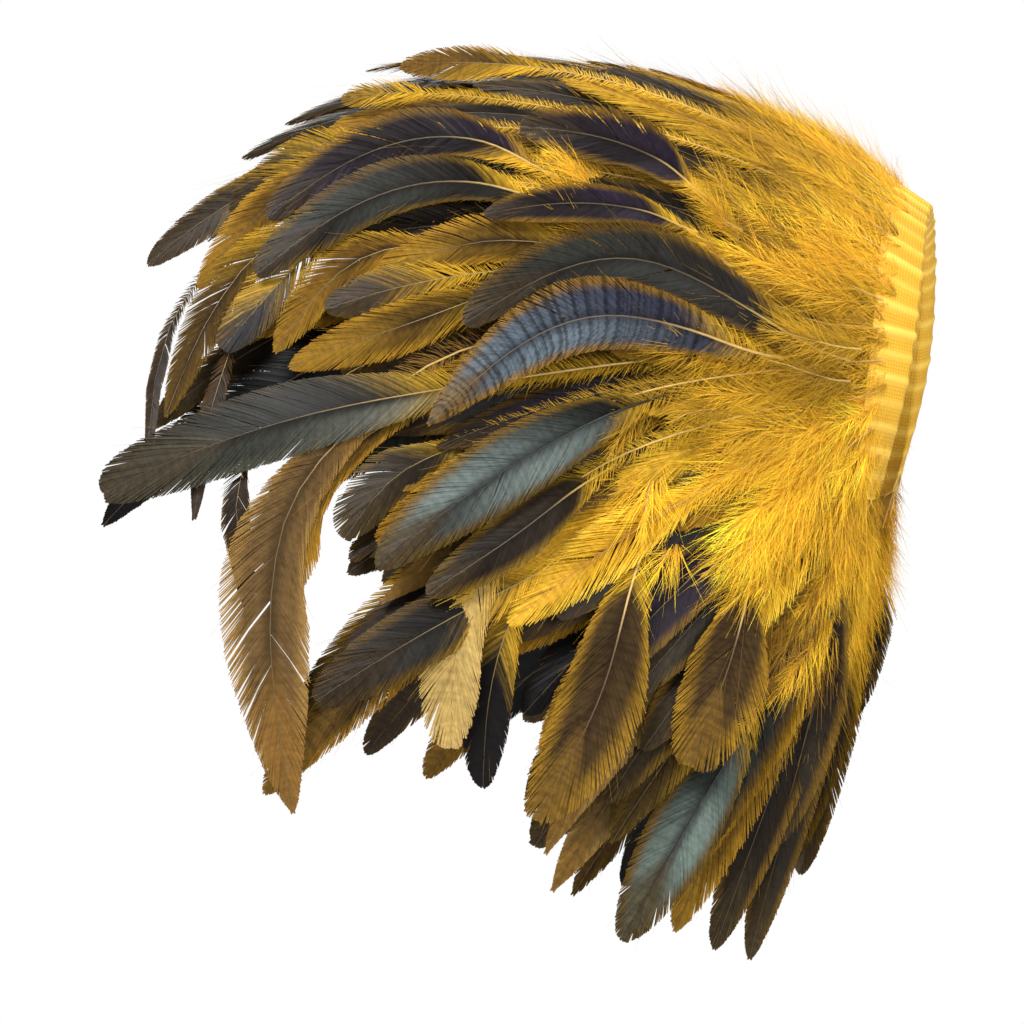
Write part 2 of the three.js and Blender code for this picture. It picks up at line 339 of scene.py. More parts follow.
class Kind(Enum):
    """The sorts of feathers on the piece."""

    GREY = Vane(
        (22, 20, 17), (33, 31, 26), (56, 50, 36), (62, 54, 40), (45, 46, 40), (98, 100, 90),
        point=0.0, splits=1, bars=0.16, stray=0.02,
    )
    BLUE = Vane(
        (32, 31, 42), (50, 53, 68), (140, 103, 31), (104, 79, 31), (86, 99, 106),
        angle=50.0, bars=0.6, point=0.8,
    )
    CHARCOAL = Vane((16, 14, 11), (28, 24, 19), (92, 69, 24), (46, 37, 24), (43, 44, 39), bars=0.2)
    PURPLE = Vane((16, 12, 12), (28, 21, 23), (118, 88, 24), (42, 32, 20), (40, 32, 44), point=0.45)
    NAVY = Vane((16, 17, 22), (26, 29, 39), (64, 50, 26), (30, 28, 28), (34, 42, 60), point=0.3)
    BLACK = Vane((13, 12, 12), (20, 18, 18), (28, 24, 20), (18, 16, 15), splits=5, point=0.5, stray=0.04)
    TEAL = Vane(
        (13, 13, 11), (31, 32, 28), (110, 83, 27), (64, 53, 32), (97, 110, 103), (28, 23, 17),
        quill=(38, 33, 25), point=0.5, bars=0.18,
    )
    UMBER = Vane(
        (20, 14, 9), (34, 25, 14), (112, 84, 25), (54, 43, 26), (44, 38, 28), point=0.45, splits=4,
    )
    BROWN = Vane(
        (50, 35, 18), (66, 49, 25), (156, 116, 33), (112, 83, 31),
        loose=0.12, point=0.35, splits=4, bars=0.25, glossy=False,
    )
    OLIVE = Vane(
        (66, 50, 27), (98, 77, 42), (150, 118, 62), (122, 90, 38), down=(150, 112, 40),
        loose=0.03, point=0.85, splits=0, stray=0.05, glossy=False,
    )
    TAN = Vane(
        (128, 95, 40), (158, 122, 56), (178, 144, 80), (180, 150, 90),
        loose=0.15, end_share=0.4, glossy=False,
    )
    AMBER = Vane(
        (46, 32, 13), (96, 69, 19), (176, 132, 35), (134, 99, 28), down=(196, 150, 37),
        down_share=0.5, angle=33.0, close=3.2, loose=0.18, point=0.6, splits=5, glossy=False,
    )
    GOLD = Vane(
        (154, 112, 24), (196, 151, 34), (230, 187, 57), (202, 157, 44),
        down_share=0.62, angle=32.0, close=2.8, loose=0.5, point=0.5, splits=6, glossy=False,
    )
    TIPPED = Vane(
        (80, 58, 18), (152, 113, 27), (194, 150, 41), (28, 22, 16),
        down_share=0.5, end_share=0.42, angle=33.0, close=3.2, loose=0.15, point=0.75, splits=5,
        glossy=False,
    )
    THIN = Vane((20, 15, 11), (34, 26, 17), (86, 62, 22), (50, 40, 28), down=(72, 52, 22), point=0.6)
    # Down and fluff: the colour beside the shaft is darker, as painted shade at the roots of the barbs.
    DOWN = Vane(
        (192, 142, 22), (243, 199, 54), (255, 226, 112), (254, 222, 100), down=(239, 187, 48),
        down_share=1.2, angle=34.0, loose=1.0, point=0.3, splits=6, glossy=False,
    )
    FLUFF = Vane(
        (84, 60, 18), (132, 97, 28), (170, 128, 38), (160, 120, 34), down=(142, 105, 31),
        down_share=1.2, angle=34.0, loose=1.0, point=0.3, splits=6, glossy=False,
    )


@dataclass
class Plume:
    """One feather as a curved line with the way off its face, in millimetres."""

    kind: Kind
    path: Array
    normal: Array
    width: float
    salt: int
    barbs: int
    downy: float
    start: float = 0.0
    # How bright the down is: partly its own colour, partly painted light.
    down_dye_and_painted_light: float = 1.0

    @property
    def length(self) -> float:
        """Length along the shaft."""
        return float(np.linalg.norm(np.diff(self.path, axis=0), axis=1).sum())

    def shown(self, share: Array) -> Array:
        """Gives how far along the vane a share of the length is."""
        return np.clip((share - self.start) / (1.0 - self.start), 0.0, 1.0)


@dataclass
class Row:
    """One sewn row of feathers, with the sorts it is made of.

    Its share of the cloth's width says where it is sewn, and its span how far round the arch it goes.
    """

    name: str
    node: str
    slot: str
    layer: float
    share: float
    span: float
    count: int
    length: float
    width: float
    downy: float
    kinds: tuple[Kind, ...]


ROWS = (
    Row(
        "outer_feathers", "outer_feather_row", "outer_feathers", 0, 0.9, 0.84, 23, 168.0, 21.0, 0.34,
        (Kind.OLIVE, Kind.UMBER, Kind.TIPPED, Kind.CHARCOAL, Kind.AMBER, Kind.BLACK, Kind.BROWN),
    ),
    Row(
        "bronze_feathers", "bronze_feather_row", "bronze_feathers", 1, 0.6, 0.93, 24, 160.0, 21.0, 0.38,
        (Kind.CHARCOAL, Kind.AMBER, Kind.PURPLE, Kind.TIPPED, Kind.UMBER, Kind.OLIVE, Kind.UMBER),
    ),
    Row(
        "middle_feathers", "middle_feather_row", "middle_feathers", 2, 0.3, 1.0, 24, 148.0, 19.0, 0.44,
        (Kind.AMBER, Kind.PURPLE, Kind.UMBER, Kind.GOLD, Kind.CHARCOAL, Kind.AMBER, Kind.UMBER),
    ),
    Row(
        "tape_feathers", "tape_feather_row", "tape_feathers", 3, 0.02, 1.0, 24, 112.0, 17.0, 0.52,
        (Kind.GOLD, Kind.UMBER, Kind.AMBER, Kind.CHARCOAL, Kind.GOLD, Kind.UMBER, Kind.AMBER),
    ),
)
# Feathers, by row and place, that are cut longer or shorter than their row.
ODD = {
    (0, 1): 0.76, (0, 2): 0.7, (0, 3): 1.13, (0, 4): 0.82, (0, 6): 1.22, (0, 11): 0.86, (0, 17): 0.8,
    (0, 19): 1.13, (0, 21): 0.76, (1, 3): 0.82, (1, 12): 0.86, (1, 20): 0.84, (2, 0): 1.1, (2, 23): 1.1,
}


@dataclass(frozen=True)
class Showpiece:
    """A feather that lies in plain sight on the front, by where it is seen there, in millimetres."""

    kind: Kind
    layer: float
    width: float
    root: Pair
    middle: Pair
    tip: Pair
    fluff: float = 0.14


SHOWPIECES = (
    Showpiece(Kind.GREY, 2.2, 23, (-123, -50), (-195, -66), (-252, -86)),
    Showpiece(Kind.CHARCOAL, 5.3, 21, (-17, -44), (-85, -14), (-141, -31)),
    Showpiece(Kind.BLUE, 6.0, 24, (-38, -44), (-98, -32), (-153, -62)),
    Showpiece(Kind.PURPLE, 5.4, 19, (-62, 8), (-92, 21), (-121, 29)),
    Showpiece(Kind.PURPLE, 4.1, 19, (-110, 15), (-143, 24), (-201, -2)),
    Showpiece(Kind.CHARCOAL, 4.3, 18, (-108, 7), (-151, 10), (-206, -17)),
    Showpiece(Kind.PURPLE, 5.7, 13, (-66, -3), (-98, 2), (-134, 0)),
    Showpiece(Kind.UMBER, 1.6, 13, (-174, 22), (-203, 9), (-238, -16)),
    Showpiece(Kind.CHARCOAL, 1.9, 15, (-156, 21), (-182, 22), (-214, 2)),
    Showpiece(Kind.NAVY, 2.0, 15, (-178, -7), (-195, -23), (-213, -44)),
    Showpiece(Kind.TIPPED, 2.0, 15, (-172, 4), (-207, -16), (-234, -62)),
    Showpiece(Kind.AMBER, 2.4, 15, (-140, -8), (-175, -14), (-198, -42)),
    Showpiece(Kind.AMBER, 2.6, 17, (-118, -24), (-155, -36), (-194, -48)),
    Showpiece(Kind.AMBER, 1.4, 14, (-160, 20), (-192, 8), (-222, -22)),
    Showpiece(Kind.AMBER, 3.0, 16, (-92, -14), (-130, -8), (-168, -20)),
    Showpiece(Kind.GOLD, 3.4, 18, (-60, -80), (-92, -104), (-124, -130)),
    Showpiece(Kind.THIN, 0.4, 5, (-216, -12), (-234, -46), (-242, -76)),
    Showpiece(Kind.THIN, 0.4, 7, (-205, -30), (-220, -62), (-222, -97)),
    Showpiece(Kind.TEAL, 5.1, 23, (-71, -55), (-112, -73), (-165, -112)),
    Showpiece(Kind.UMBER, 4.1, 17, (-92, -77), (-123, -99), (-150, -119)),
    Showpiece(Kind.CHARCOAL, 2.2, 20, (-112, -106), (-149, -128), (-186, -151)),
    Showpiece(Kind.OLIVE, 1.2, 28, (-170, -60), (-199, -118), (-193, -186), 0.0),
    Showpiece(Kind.AMBER, 0.9, 20, (-160, -62), (-181, -88), (-190, -124), 0.0),
    Showpiece(Kind.AMBER, 3.2, 20, (-112, -64), (-140, -82), (-166, -104)),
    Showpiece(Kind.UMBER, 2.0, 17, (-140, -68), (-162, -82), (-179, -99), 0.05),
    Showpiece(Kind.THIN, 0.5, 9, (-196, -66), (-211, -96), (-208, -123)),
    Showpiece(Kind.TAN, 2.6, 20, (-122, -102), (-139, -134), (-146, -163)),
    Showpiece(Kind.BLACK, 0.8, 16, (-118, -116), (-130, -143), (-135, -176)),
    Showpiece(Kind.BROWN, 4.9, 26, (-81, -102), (-94, -143), (-118, -188)),
    Showpiece(Kind.BROWN, 5.3, 26, (-48, -112), (-57, -139), (-68, -170)),
    Showpiece(Kind.TEAL, 1.8, 22, (-46, -151), (-63, -180), (-91, -226)),
    Showpiece(Kind.UMBER, 4.2, 16, (-18, -89), (-29, -155), (-42, -234)),
    Showpiece(Kind.UMBER, 4.5, 19, (-22, -100), (-28, -142), (-38, -196)),
    Showpiece(Kind.BROWN, 3.4, 13, (-112, 44), (-135, 47), (-160, 47)),
    Showpiece(Kind.UMBER, 3.0, 10, (-149, 37), (-162, 38), (-177, 36)),
    Showpiece(Kind.UMBER, 2.6, 15, (-133, -16), (-158, -20), (-182, -30)),
)


class NodeMaker:
    """A node tree that is put together node by node."""

    tree: bpy.types.NodeTree

    def add(
        self, kind: str, inputs: dict[str | int, object] | None = None, **settings: object
    ) -> bpy.types.Node:
        """Adds a node.

        Args:
            kind: The node's type.
            inputs: Values or sockets for its inputs, by name or place.
            settings: Its own options.

        Returns:
            The node.
        """
        node = self.tree.nodes.new(kind)
        for name, value in settings.items():
            setattr(node, name, value)
        for name, value in (inputs or {}).items():
            if isinstance(value, Socket):
                self.tree.links.new(value, node.inputs[name])
            else:
                node.inputs[name].default_value = value
        return node

    def math(self, operation: str, first: object, second: object) -> Socket:
        """Works out one number from two."""
        return self.add("ShaderNodeMath", {0: first, 1: second}, operation=operation).outputs[0]


class GrowTree(NodeMaker):
    """A Geometry Nodes tree that grows meshes."""

    def __init__(self, name: str) -> None:
        """Starts a tree with a geometry going in and one coming out.

        Args:
            name: The tree's name.
        """
        self.tree = bpy.data.node_groups.new(name, "GeometryNodeTree")
        for way in ("INPUT", "OUTPUT"):
            self.tree.interface.new_socket("Geometry", in_out=way, socket_type="NodeSocketGeometry")
        self.start = self.tree.nodes.new("NodeGroupInput")
        self.end = self.tree.nodes.new("NodeGroupOutput")

    def given(self, name: str, socket: str) -> Socket:
        """Adds a named input of a socket type and returns it."""
        self.tree.interface.new_socket(name, in_out="INPUT", socket_type=socket)
        return self.start.outputs[name]

    def named(self, name: str, data: str) -> Socket:
        """Reads a named attribute."""
        node = self.add("GeometryNodeInputNamedAttribute", {"Name": name}, data_type=data)
        return node.outputs["Attribute"]

    def store(
        self, mesh: Socket, name: str, value: Socket, data: str, domain: str
    ) -> Socket:
        """Stores a named attribute on a mesh.

        Args:
            mesh: The mesh.
            name: The attribute's name.
            value: What is stored.
            data: Its type.
            domain: What it is stored on.

        Returns:
            The mesh with the attribute.
        """
        inputs = {"Geometry": mesh, "Name": name, "Value": value}
        node = self.add("GeometryNodeStoreNamedAttribute", inputs, data_type=data, domain=domain)
        return node.outputs[0]

    def finish(
        self, mesh: Socket, material: Socket, where: object = True
    ) -> None:
        """Gives a mesh its material, smooths it and joins it to the tree's output.

        Args:
            mesh: The mesh, with no instances left.
            material: The material.
            where: The faces that get it.
        """
        inputs = {"Geometry": mesh, "Material": material, "Selection": where}
        painted = self.add("GeometryNodeSetMaterial", inputs)
        smooth = self.add("GeometryNodeSetShadeSmooth", {"Geometry": painted.outputs[0]})
        self.tree.links.new(smooth.outputs[0], self.end.inputs[0])

    def run(self, piece: bpy.types.Object, values: dict[str, object]) -> None:
        """Grows a piece's mesh and makes the result its own plain mesh.

        Args:
            piece: The object to grow from.
            values: Values for the tree's inputs, by name.
        """
        modifier = piece.modifiers.new("grow", "NODES")
        modifier.node_group = self.tree
        for item in self.tree.interface.items_tree:
            if item.in_out == "INPUT" and item.name in values:
                modifier[item.identifier] = values[item.name]
        graph = bpy.context.evaluated_depsgraph_get()
        grown = bpy.data.meshes.new_from_object(piece.evaluated_get(graph))
        piece.modifiers.remove(modifier)
        seed_mesh = piece.data
        piece.data = grown
        bpy.data.meshes.remove(seed_mesh)
        grown.name = piece.name


def ribbon(
    grow: GrowTree, segments: Socket, tip: Socket
) -> Socket:
    """Makes a tapering ribbon of length 1 along X.

    Args:
        grow: The tree it is made in.
        segments: Its segments along its length.
        tip: Its width at the tip, as a share of its width at the root.

    Returns:
        The ribbon, with along and aside stored on it.
    """
    across = grow.math("ADD", segments, 1.0)
    sizes = {"Size X": 1.0, "Size Y": 1.0, "Vertices X": across, "Vertices Y": 2}
    mesh = grow.add("GeometryNodeMeshGrid", sizes).outputs["Mesh"]
    at = grow.add("ShaderNodeSeparateXYZ", {0: grow.add("GeometryNodeInputPosition").outputs[0]})
    along = grow.math("ADD", at.outputs["X"], 0.5)
    for name, value in (("along", along), ("aside", grow.math("ADD", at.outputs["Y"], 0.5))):
        mesh = grow.store(mesh, name, value, "FLOAT", "POINT")
    squared = grow.math("MULTIPLY", along, along)
    lost = grow.math("MULTIPLY", squared, grow.math("SUBTRACT", 1.0, tip))
    width = grow.math("MULTIPLY", at.outputs["Y"], grow.math("SUBTRACT", 1.0, lost))
    shape = grow.add("ShaderNodeCombineXYZ", {"X": along, "Y": width})
    return grow.add("GeometryNodeSetPosition", {"Geometry": mesh, "Position": shape.outputs[0]}).outputs[0]


def barb_tree() -> GrowTree:
    """Makes the tree that sets a ribbon on each point and bends it.

    Returns:
        The tree, which reads turned, size, bend, cell, fine and glossy from the points.
    """
    grow = GrowTree("barbs")
    segments = grow.given("Segments", "NodeSocketInt")
    vane_tip = grow.given("Vane tip", "NodeSocketFloat")
    down_tip = grow.given("Down tip", "NodeSocketFloat")
    cell_wide = grow.given("Cell width", "NodeSocketFloat")
    cell_high = grow.given("Cell height", "NodeSocketFloat")
    soft = grow.given("Soft", "NodeSocketMaterial")
    glossy = grow.given("Glossy", "NodeSocketMaterial")
    turned = grow.add("FunctionNodeEulerToRotation", {0: grow.named("turned", "FLOAT_VECTOR")})
    chosen = grow.named("fine", "BOOLEAN")
    others = grow.add("FunctionNodeBooleanMath", {0: chosen}, operation="NOT").outputs[0]
    join = grow.add("GeometryNodeJoinGeometry")
    for picked, tip in ((others, vane_tip), (chosen, down_tip)):
        inputs = {
            "Points": grow.start.outputs["Geometry"],
            "Selection": picked,
            "Instance": ribbon(grow, segments, tip),
            "Rotation": turned.outputs[0],
            "Scale": grow.named("size", "FLOAT_VECTOR"),
        }
        placed = grow.add("GeometryNodeInstanceOnPoints", inputs)
        grow.tree.links.new(placed.outputs[0], join.inputs[0])
    real = grow.add("GeometryNodeRealizeInstances", {"Geometry": join.outputs[0]})
    along, aside = grow.named("along", "FLOAT"), grow.named("aside", "FLOAT")
    squared = grow.math("MULTIPLY", along, along)
    bend = {0: grow.named("bend", "FLOAT_VECTOR"), "Scale": squared}
    bow = grow.add("ShaderNodeVectorMath", bend, operation="SCALE")
    bent = grow.add("GeometryNodeSetPosition", {"Geometry": real.outputs[0], "Offset": bow.outputs[0]})
    inside = grow.add(
        "ShaderNodeCombineXYZ",
        {"X": grow.math("MULTIPLY", along, cell_wide), "Y": grow.math("MULTIPLY", aside, cell_high)},
    )
    spot = grow.add("ShaderNodeVectorMath", {0: grow.named("cell", "FLOAT_VECTOR"), 1: inside.outputs[0]})
    mesh = grow.store(bent.outputs[0], "OFBake", spot.outputs[0], "FLOAT2", "CORNER")
    for name in ("turned", "size", "bend", "cell", "aside", "fine"):
        mesh = grow.add("GeometryNodeRemoveAttribute", {"Geometry": mesh, "Name": name}).outputs[0]
    mesh = grow.add("GeometryNodeSetMaterial", {"Geometry": mesh, "Material": soft}).outputs[0]
    grow.finish(mesh, glossy, grow.named("glossy", "BOOLEAN"))
    return grow


def shaft_tree() -> GrowTree:
    """Makes the tree that turns lines into tapering shafts.

    Returns:
        The tree, which reads girth from the points of the lines.
    """
    grow = GrowTree("shafts")
    sides = grow.given("Sides", "NodeSocketInt")
    material = grow.given("Material", "NodeSocketMaterial")
    lines = grow.add("GeometryNodeMeshToCurve", {"Mesh": grow.start.outputs["Geometry"]})
    circle = grow.add("GeometryNodeCurvePrimitiveCircle", {"Resolution": sides, "Radius": 1.0})
    tubes = grow.add(
        "GeometryNodeCurveToMesh",
        {
            "Curve": lines.outputs[0],
            "Profile Curve": circle.outputs[0],
            "Scale": grow.named("girth", "FLOAT"),
            "Fill Caps": True,
        },
    )
    real = grow.add("GeometryNodeRealizeInstances", {"Geometry": tubes.outputs[0]})
    grow.finish(real.outputs[0], material)
    return grow


def stitch_tree() -> GrowTree:
    """Makes the tree that lays short threads along lines.

    Returns:
        The tree.
    """
    grow = GrowTree("stitches")
    pitch = grow.given("Pitch", "NodeSocketFloat")
    length = grow.given("Length", "NodeSocketFloat")
    girth = grow.given("Girth", "NodeSocketFloat")
    material = grow.given("Material", "NodeSocketMaterial")
    lines = grow.add("GeometryNodeMeshToCurve", {"Mesh": grow.start.outputs["Geometry"]})
    spaced = {"Curve": lines.outputs[0], "Length": pitch}
    points = grow.add("GeometryNodeCurveToPoints", spaced, mode="LENGTH")
    thread = grow.add("GeometryNodeMeshUVSphere", {"Segments": 5, "Rings": 4, "Radius": 1.0})
    size = grow.add("ShaderNodeCombineXYZ", {"X": girth, "Y": girth, "Z": length})
    placed = grow.add(
        "GeometryNodeInstanceOnPoints",
        {
            "Points": points.outputs["Points"],
            "Instance": thread.outputs[0],
            "Rotation": points.outputs["Rotation"],
            "Scale": size.outputs[0],
        },
    )
    real = grow.add("GeometryNodeRealizeInstances", {"Geometry": placed.outputs[0]})
    grow.finish(real.outputs[0], material)
    return grow


class Shader(NodeMaker):
    """A material with its nodes."""

    def __init__(self, name: str, roughness: float) -> None:
        """Starts a material with one main shader.

        Args:
            name: The material's name.
            roughness: How rough the surface is, from 0 to 1.
        """
        self.material = bpy.data.materials.new(name)
        self.material.use_nodes = True
        self.tree = self.material.node_tree
        self.main = next(node for node in self.tree.nodes if node.type == "BSDF_PRINCIPLED")
        self.main.inputs["Roughness"].default_value = roughness

    def tinted(self, name: str, part: str = "Color") -> Socket:
        """Reads an attribute of the mesh as a colour, or as a number with Fac."""
        return self.add("ShaderNodeAttribute", attribute_name=name).outputs[part]

    def dim(self, colour: Socket, light: Socket) -> Socket:
        """Makes a colour lighter or darker."""
        node = self.add("ShaderNodeVectorMath", {0: colour, "Scale": light}, operation="SCALE")
        return node.outputs[0]

    def blend(self, first: object, second: object, share: object) -> Socket:
        """Blends two colours by a share."""
        node = self.add("ShaderNodeMix", {0: share, 6: first, 7: second}, data_type="RGBA")
        return node.outputs[2]

    def ramp(
        self, value: Socket, low: float, high: float, start: float = 0.0, end: float = 1.0
    ) -> Socket:
        """Turns a range of a value into another range, smoothly."""
        inputs = {"Value": value, "From Min": low, "From Max": high, "To Min": start, "To Max": end}
        return self.add("ShaderNodeMapRange", inputs, interpolation_type="SMOOTHSTEP").outputs[0]

    def noise(self, scale: float, detail: float) -> Socket:
        """Gives noise over the piece's own coordinates.

        Args:
            scale: How fine it is, in waves to the metre.
            detail: How many finer layers it has.

        Returns:
            The noise, from 0 to 1.
        """
        place = self.add("ShaderNodeTexCoord").outputs["Object"]
        inputs = {"Vector": place, "Scale": scale, "Detail": detail}
        return self.add("ShaderNodeTexNoise", inputs).outputs[0]

    def wire(self, socket: str, value: Socket) -> None:
        """Joins a value to an input of the main shader."""
        self.tree.links.new(value, self.main.inputs[socket])

    def set(self, **values: float) -> None:
        """Sets inputs of the main shader that are the same all over."""
        for name, value in values.items():
            self.main.inputs[name.replace("_", " ")].default_value = value


@dataclass(frozen=True)
class VaneFinish:
    """The finish of barbs, whose colours come with each barb.

    Ranges are of a barb's length, or of the noise that they cut.
    """

    name: str
    roughness: float
    sheen: float
    rim: Pair
    inner: Pair = (0.02, 0.35)
    bars: float = 0.55
    bar_cut: Pair = (0.42, 0.62)
    grain: float = 0.1
    grain_scale: float = 700.0
    grain_cut: Pair = (0.3, 0.7)
    sheen_roughness: float = 0.4
    specular: float = 0.09

    def material(self) -> Material:
        """Makes the material.

        Returns:
            The material, which reads the attributes that the barbs have.
        """
        shader = Shader(self.name, self.roughness)
        shaft, middle, rim = (shader.tinted(f"shade_{part}") for part in ("shaft", "field", "rim"))
        along, start, end, barred = (
            shader.tinted(name, "Fac") for name in ("along", "from_at", "to_at", "barred")
        )
        inner = shader.blend(shaft, middle, shader.ramp(along, *self.inner))
        colour = shader.blend(inner, rim, shader.ramp(along, *self.rim))
        station = shader.add("ShaderNodeMix", {0: along, 2: start, 3: end}).outputs[0]
        banded = {"W": station, "Scale": self.bars, "Detail": 1.0}
        bars = shader.add("ShaderNodeTexNoise", banded, noise_dimensions="1D").outputs[0]
        dark = shader.math("MULTIPLY", shader.ramp(bars, *self.bar_cut), barred)
        noise = shader.noise(self.grain_scale, 2.0)
        grain = shader.ramp(noise, *self.grain_cut, 1.0 - self.grain, 1.0 + self.grain)
        shader.wire("Base Color", shader.dim(colour, shader.math("SUBTRACT", grain, dark)))
        shader.set(Sheen_Weight=self.sheen, Sheen_Roughness=self.sheen_roughness)
        shader.set(Specular_IOR_Level=self.specular)
        return shader.material


@dataclass(frozen=True)
class QuillFinish:
    """The smooth horny finish of the shafts, whose colour comes with each shaft."""

    name: str = "quill"
    roughness: float = 0.35
    grain_scale: float = 400.0
    grain_cut: Pair = (0.3, 0.7)
    grain: Pair = (0.88, 1.08)

    def material(self) -> Material:
        """Makes the material.

        Returns:
            The material, which reads the attribute shade.
        """
        shader = Shader(self.name, self.roughness)
        grain = shader.ramp(shader.noise(self.grain_scale, 2.0), *self.grain_cut, *self.grain)
        shader.wire("Base Color", shader.dim(shader.tinted("shade"), grain))
        return shader.material


@dataclass(frozen=True)
class ClothFinish:
    """A plain weave, drawn along the cloth's own map in millimetres.

    Colours have parts from 0 to 255: the threads, the gaps and worn places, and the painted highlight on
    the ridges over quills.
    """

    name: str
    colour: Triple
    shade: Triple
    pale: Triple
    threads: float
    roughness: float
    sheen: float
    depth: float
    sheen_roughness: float = 0.35
    bump: float = 0.0002
    waver: float = 0.6
    gap_cut: float = 0.5
    gap_light: float = 0.35
    worn_scale: float = 60.0
    worn_cut: Pair = (0.35, 0.7)
    worn_depth: float = 0.35

    def material(self) -> Material:
        """Makes the material.

        Returns:
            The material, which reads the map Weave and the painted highlight on the crests of the ribs,
            stored on the mesh.
        """
        shader = Shader(self.name, self.roughness)
        place = shader.add("ShaderNodeUVMap", uv_map="Weave").outputs[0]
        waves = []
        for axis in ("X", "Y"):
            inputs = {"Vector": place, "Scale": self.threads, "Distortion": self.waver}
            inputs |= {"Detail": 1.0, "Detail Scale": 2.0}
            wave = shader.add("ShaderNodeTexWave", inputs, bands_direction=axis)
            waves.append(wave.outputs["Fac"])
        weave = shader.math("MULTIPLY", *waves)
        light, dark, pale = ((*linear(*tone), 1.0) for tone in (self.colour, self.shade, self.pale))
        colour = shader.blend(dark, light, shader.ramp(weave, 0.0, self.gap_cut, self.gap_light))
        worn = shader.ramp(shader.noise(self.worn_scale, 4.0), *self.worn_cut)
        colour = shader.blend(colour, dark, shader.math("MULTIPLY", worn, self.worn_depth))
        # Painted highlight: the cloth turns pale on the crests of the ribs.
        shader.wire("Base Color", shader.blend(colour, pale, shader.tinted("painted_ridge_highlight", "Fac")))
        raised = {"Strength": self.depth, "Distance": self.bump, "Height": weave}
        shader.wire("Normal", shader.add("ShaderNodeBump", raised).outputs[0])
        shader.set(Sheen_Weight=self.sheen, Sheen_Roughness=self.sheen_roughness)
        return shader.material


SOFT_VANE = VaneFinish("soft_vane", roughness=0.75, sheen=0.12, rim=(0.5, 0.97))
GLOSSY_VANE = VaneFinish("glossy_vane", roughness=0.38, sheen=0.0, rim=(0.6, 0.97))
QUILL = QuillFinish()
# Its pale colour is the painted highlight on the crests of the tape's ribs.
TAPE_CLOTH = ClothFinish(
    "tape_cloth", (228, 178, 40), (194, 140, 22), (244, 202, 82),
    threads=0.3, roughness=0.7, sheen=0.05, depth=0.6,
)
BASE_CLOTH = ClothFinish(
    "base_cloth", (226, 176, 54), (176, 126, 26), (240, 200, 90),
    threads=0.22, roughness=0.85, sheen=0.15, depth=0.9,
)
THREAD = ClothFinish(
    "sewing_thread", (240, 196, 70), (206, 150, 32), (250, 214, 110),
    threads=2.0, roughness=0.6, sheen=0.1, depth=0.2,
)


def new_piece(name: str, mesh: bpy.types.Mesh, slot: str, nodes: tuple[str, ...] = ()) -> bpy.types.Object:
    """Makes an object for a mesh, keeping its slot and the solids it stands for.

    Args:
        name: The piece's name.
        mesh: Its mesh.
        slot: The record's slot for its finish.
        nodes: The solids that it stands for.

    Returns:
        The object, linked to the scene.
    """
    piece = bpy.data.objects.new(name, mesh)
    bpy.context.scene.collection.objects.link(piece)
    piece["slot"], piece["nodes"] = slot, ",".join(nodes)
    return piece


def declare(piece: bpy.types.Object) -> None:
    """Hangs a finished piece on its body, hides the solids that it stands for and logs its faces.

    Args:
        piece: The piece and nodes as new_piece kept them.
    """
    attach(piece, BODY)
    nodes = [node for node in piece["nodes"].split(",") if node]
    if nodes:
        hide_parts(*nodes)
    LOG.info("%s: %d faces", piece.name, len(piece.data.polygons))


def write_attribute(mesh: bpy.types.Mesh, name: str, kind: str, values: Array) -> None:
    """Stores one value for each point of a mesh.

    Args:
        mesh: The mesh.
        name: The attribute's name.
        kind: Its type.
        values: A row for each point.
    """
    attribute = mesh.attributes.new(name, kind, "POINT")
    key = {"FLOAT_VECTOR": "vector", "FLOAT_COLOR": "color"}.get(kind, "value")
    attribute.data.foreach_set(key, np.ascontiguousarray(values).ravel())


def write_colours(mesh: bpy.types.Mesh, name: str, colours: Array) -> None:
    """Stores one solid colour for each point of a mesh."""
    solid = np.concatenate([colours, np.ones((len(colours), 1))], 1)
    write_attribute(mesh, name, "FLOAT_COLOR", solid.astype(np.float32))


def line_mesh(name: str, lines: list[Array]) -> bpy.types.Mesh:
    """Makes a mesh of open lines.

    Args:
        name: The mesh's name.
        lines: The points of each line, in millimetres.

    Returns:
        The mesh, with an edge from each point of a line to the next.
    """
    points, edges = [], []
    for line in lines:
        edges.extend((len(points) + i, len(points) + i + 1) for i in range(len(line) - 1))
        points.extend((line * MM).tolist())
    mesh = bpy.data.meshes.new(name)
    mesh.from_pydata(points, edges, [])
    return mesh


def euler_of(x_axis: Array, y_axis: Array, z_axis: Array) -> Array:
    """Turns sets of three axes into angles.

    Args:
        x_axis: Where X points, a row for each set.
        y_axis: Where Y points.
        z_axis: Where Z points.

    Returns:
        The XYZ angles in radians, a row for each set.
    """
    roll = np.arctan2(y_axis[:, 2], z_axis[:, 2])
    pitch = -np.arcsin(np.clip(x_axis[:, 2], -1.0, 1.0))
    return np.stack([roll, pitch, np.arctan2(x_axis[:, 1], x_axis[:, 0])], -1)


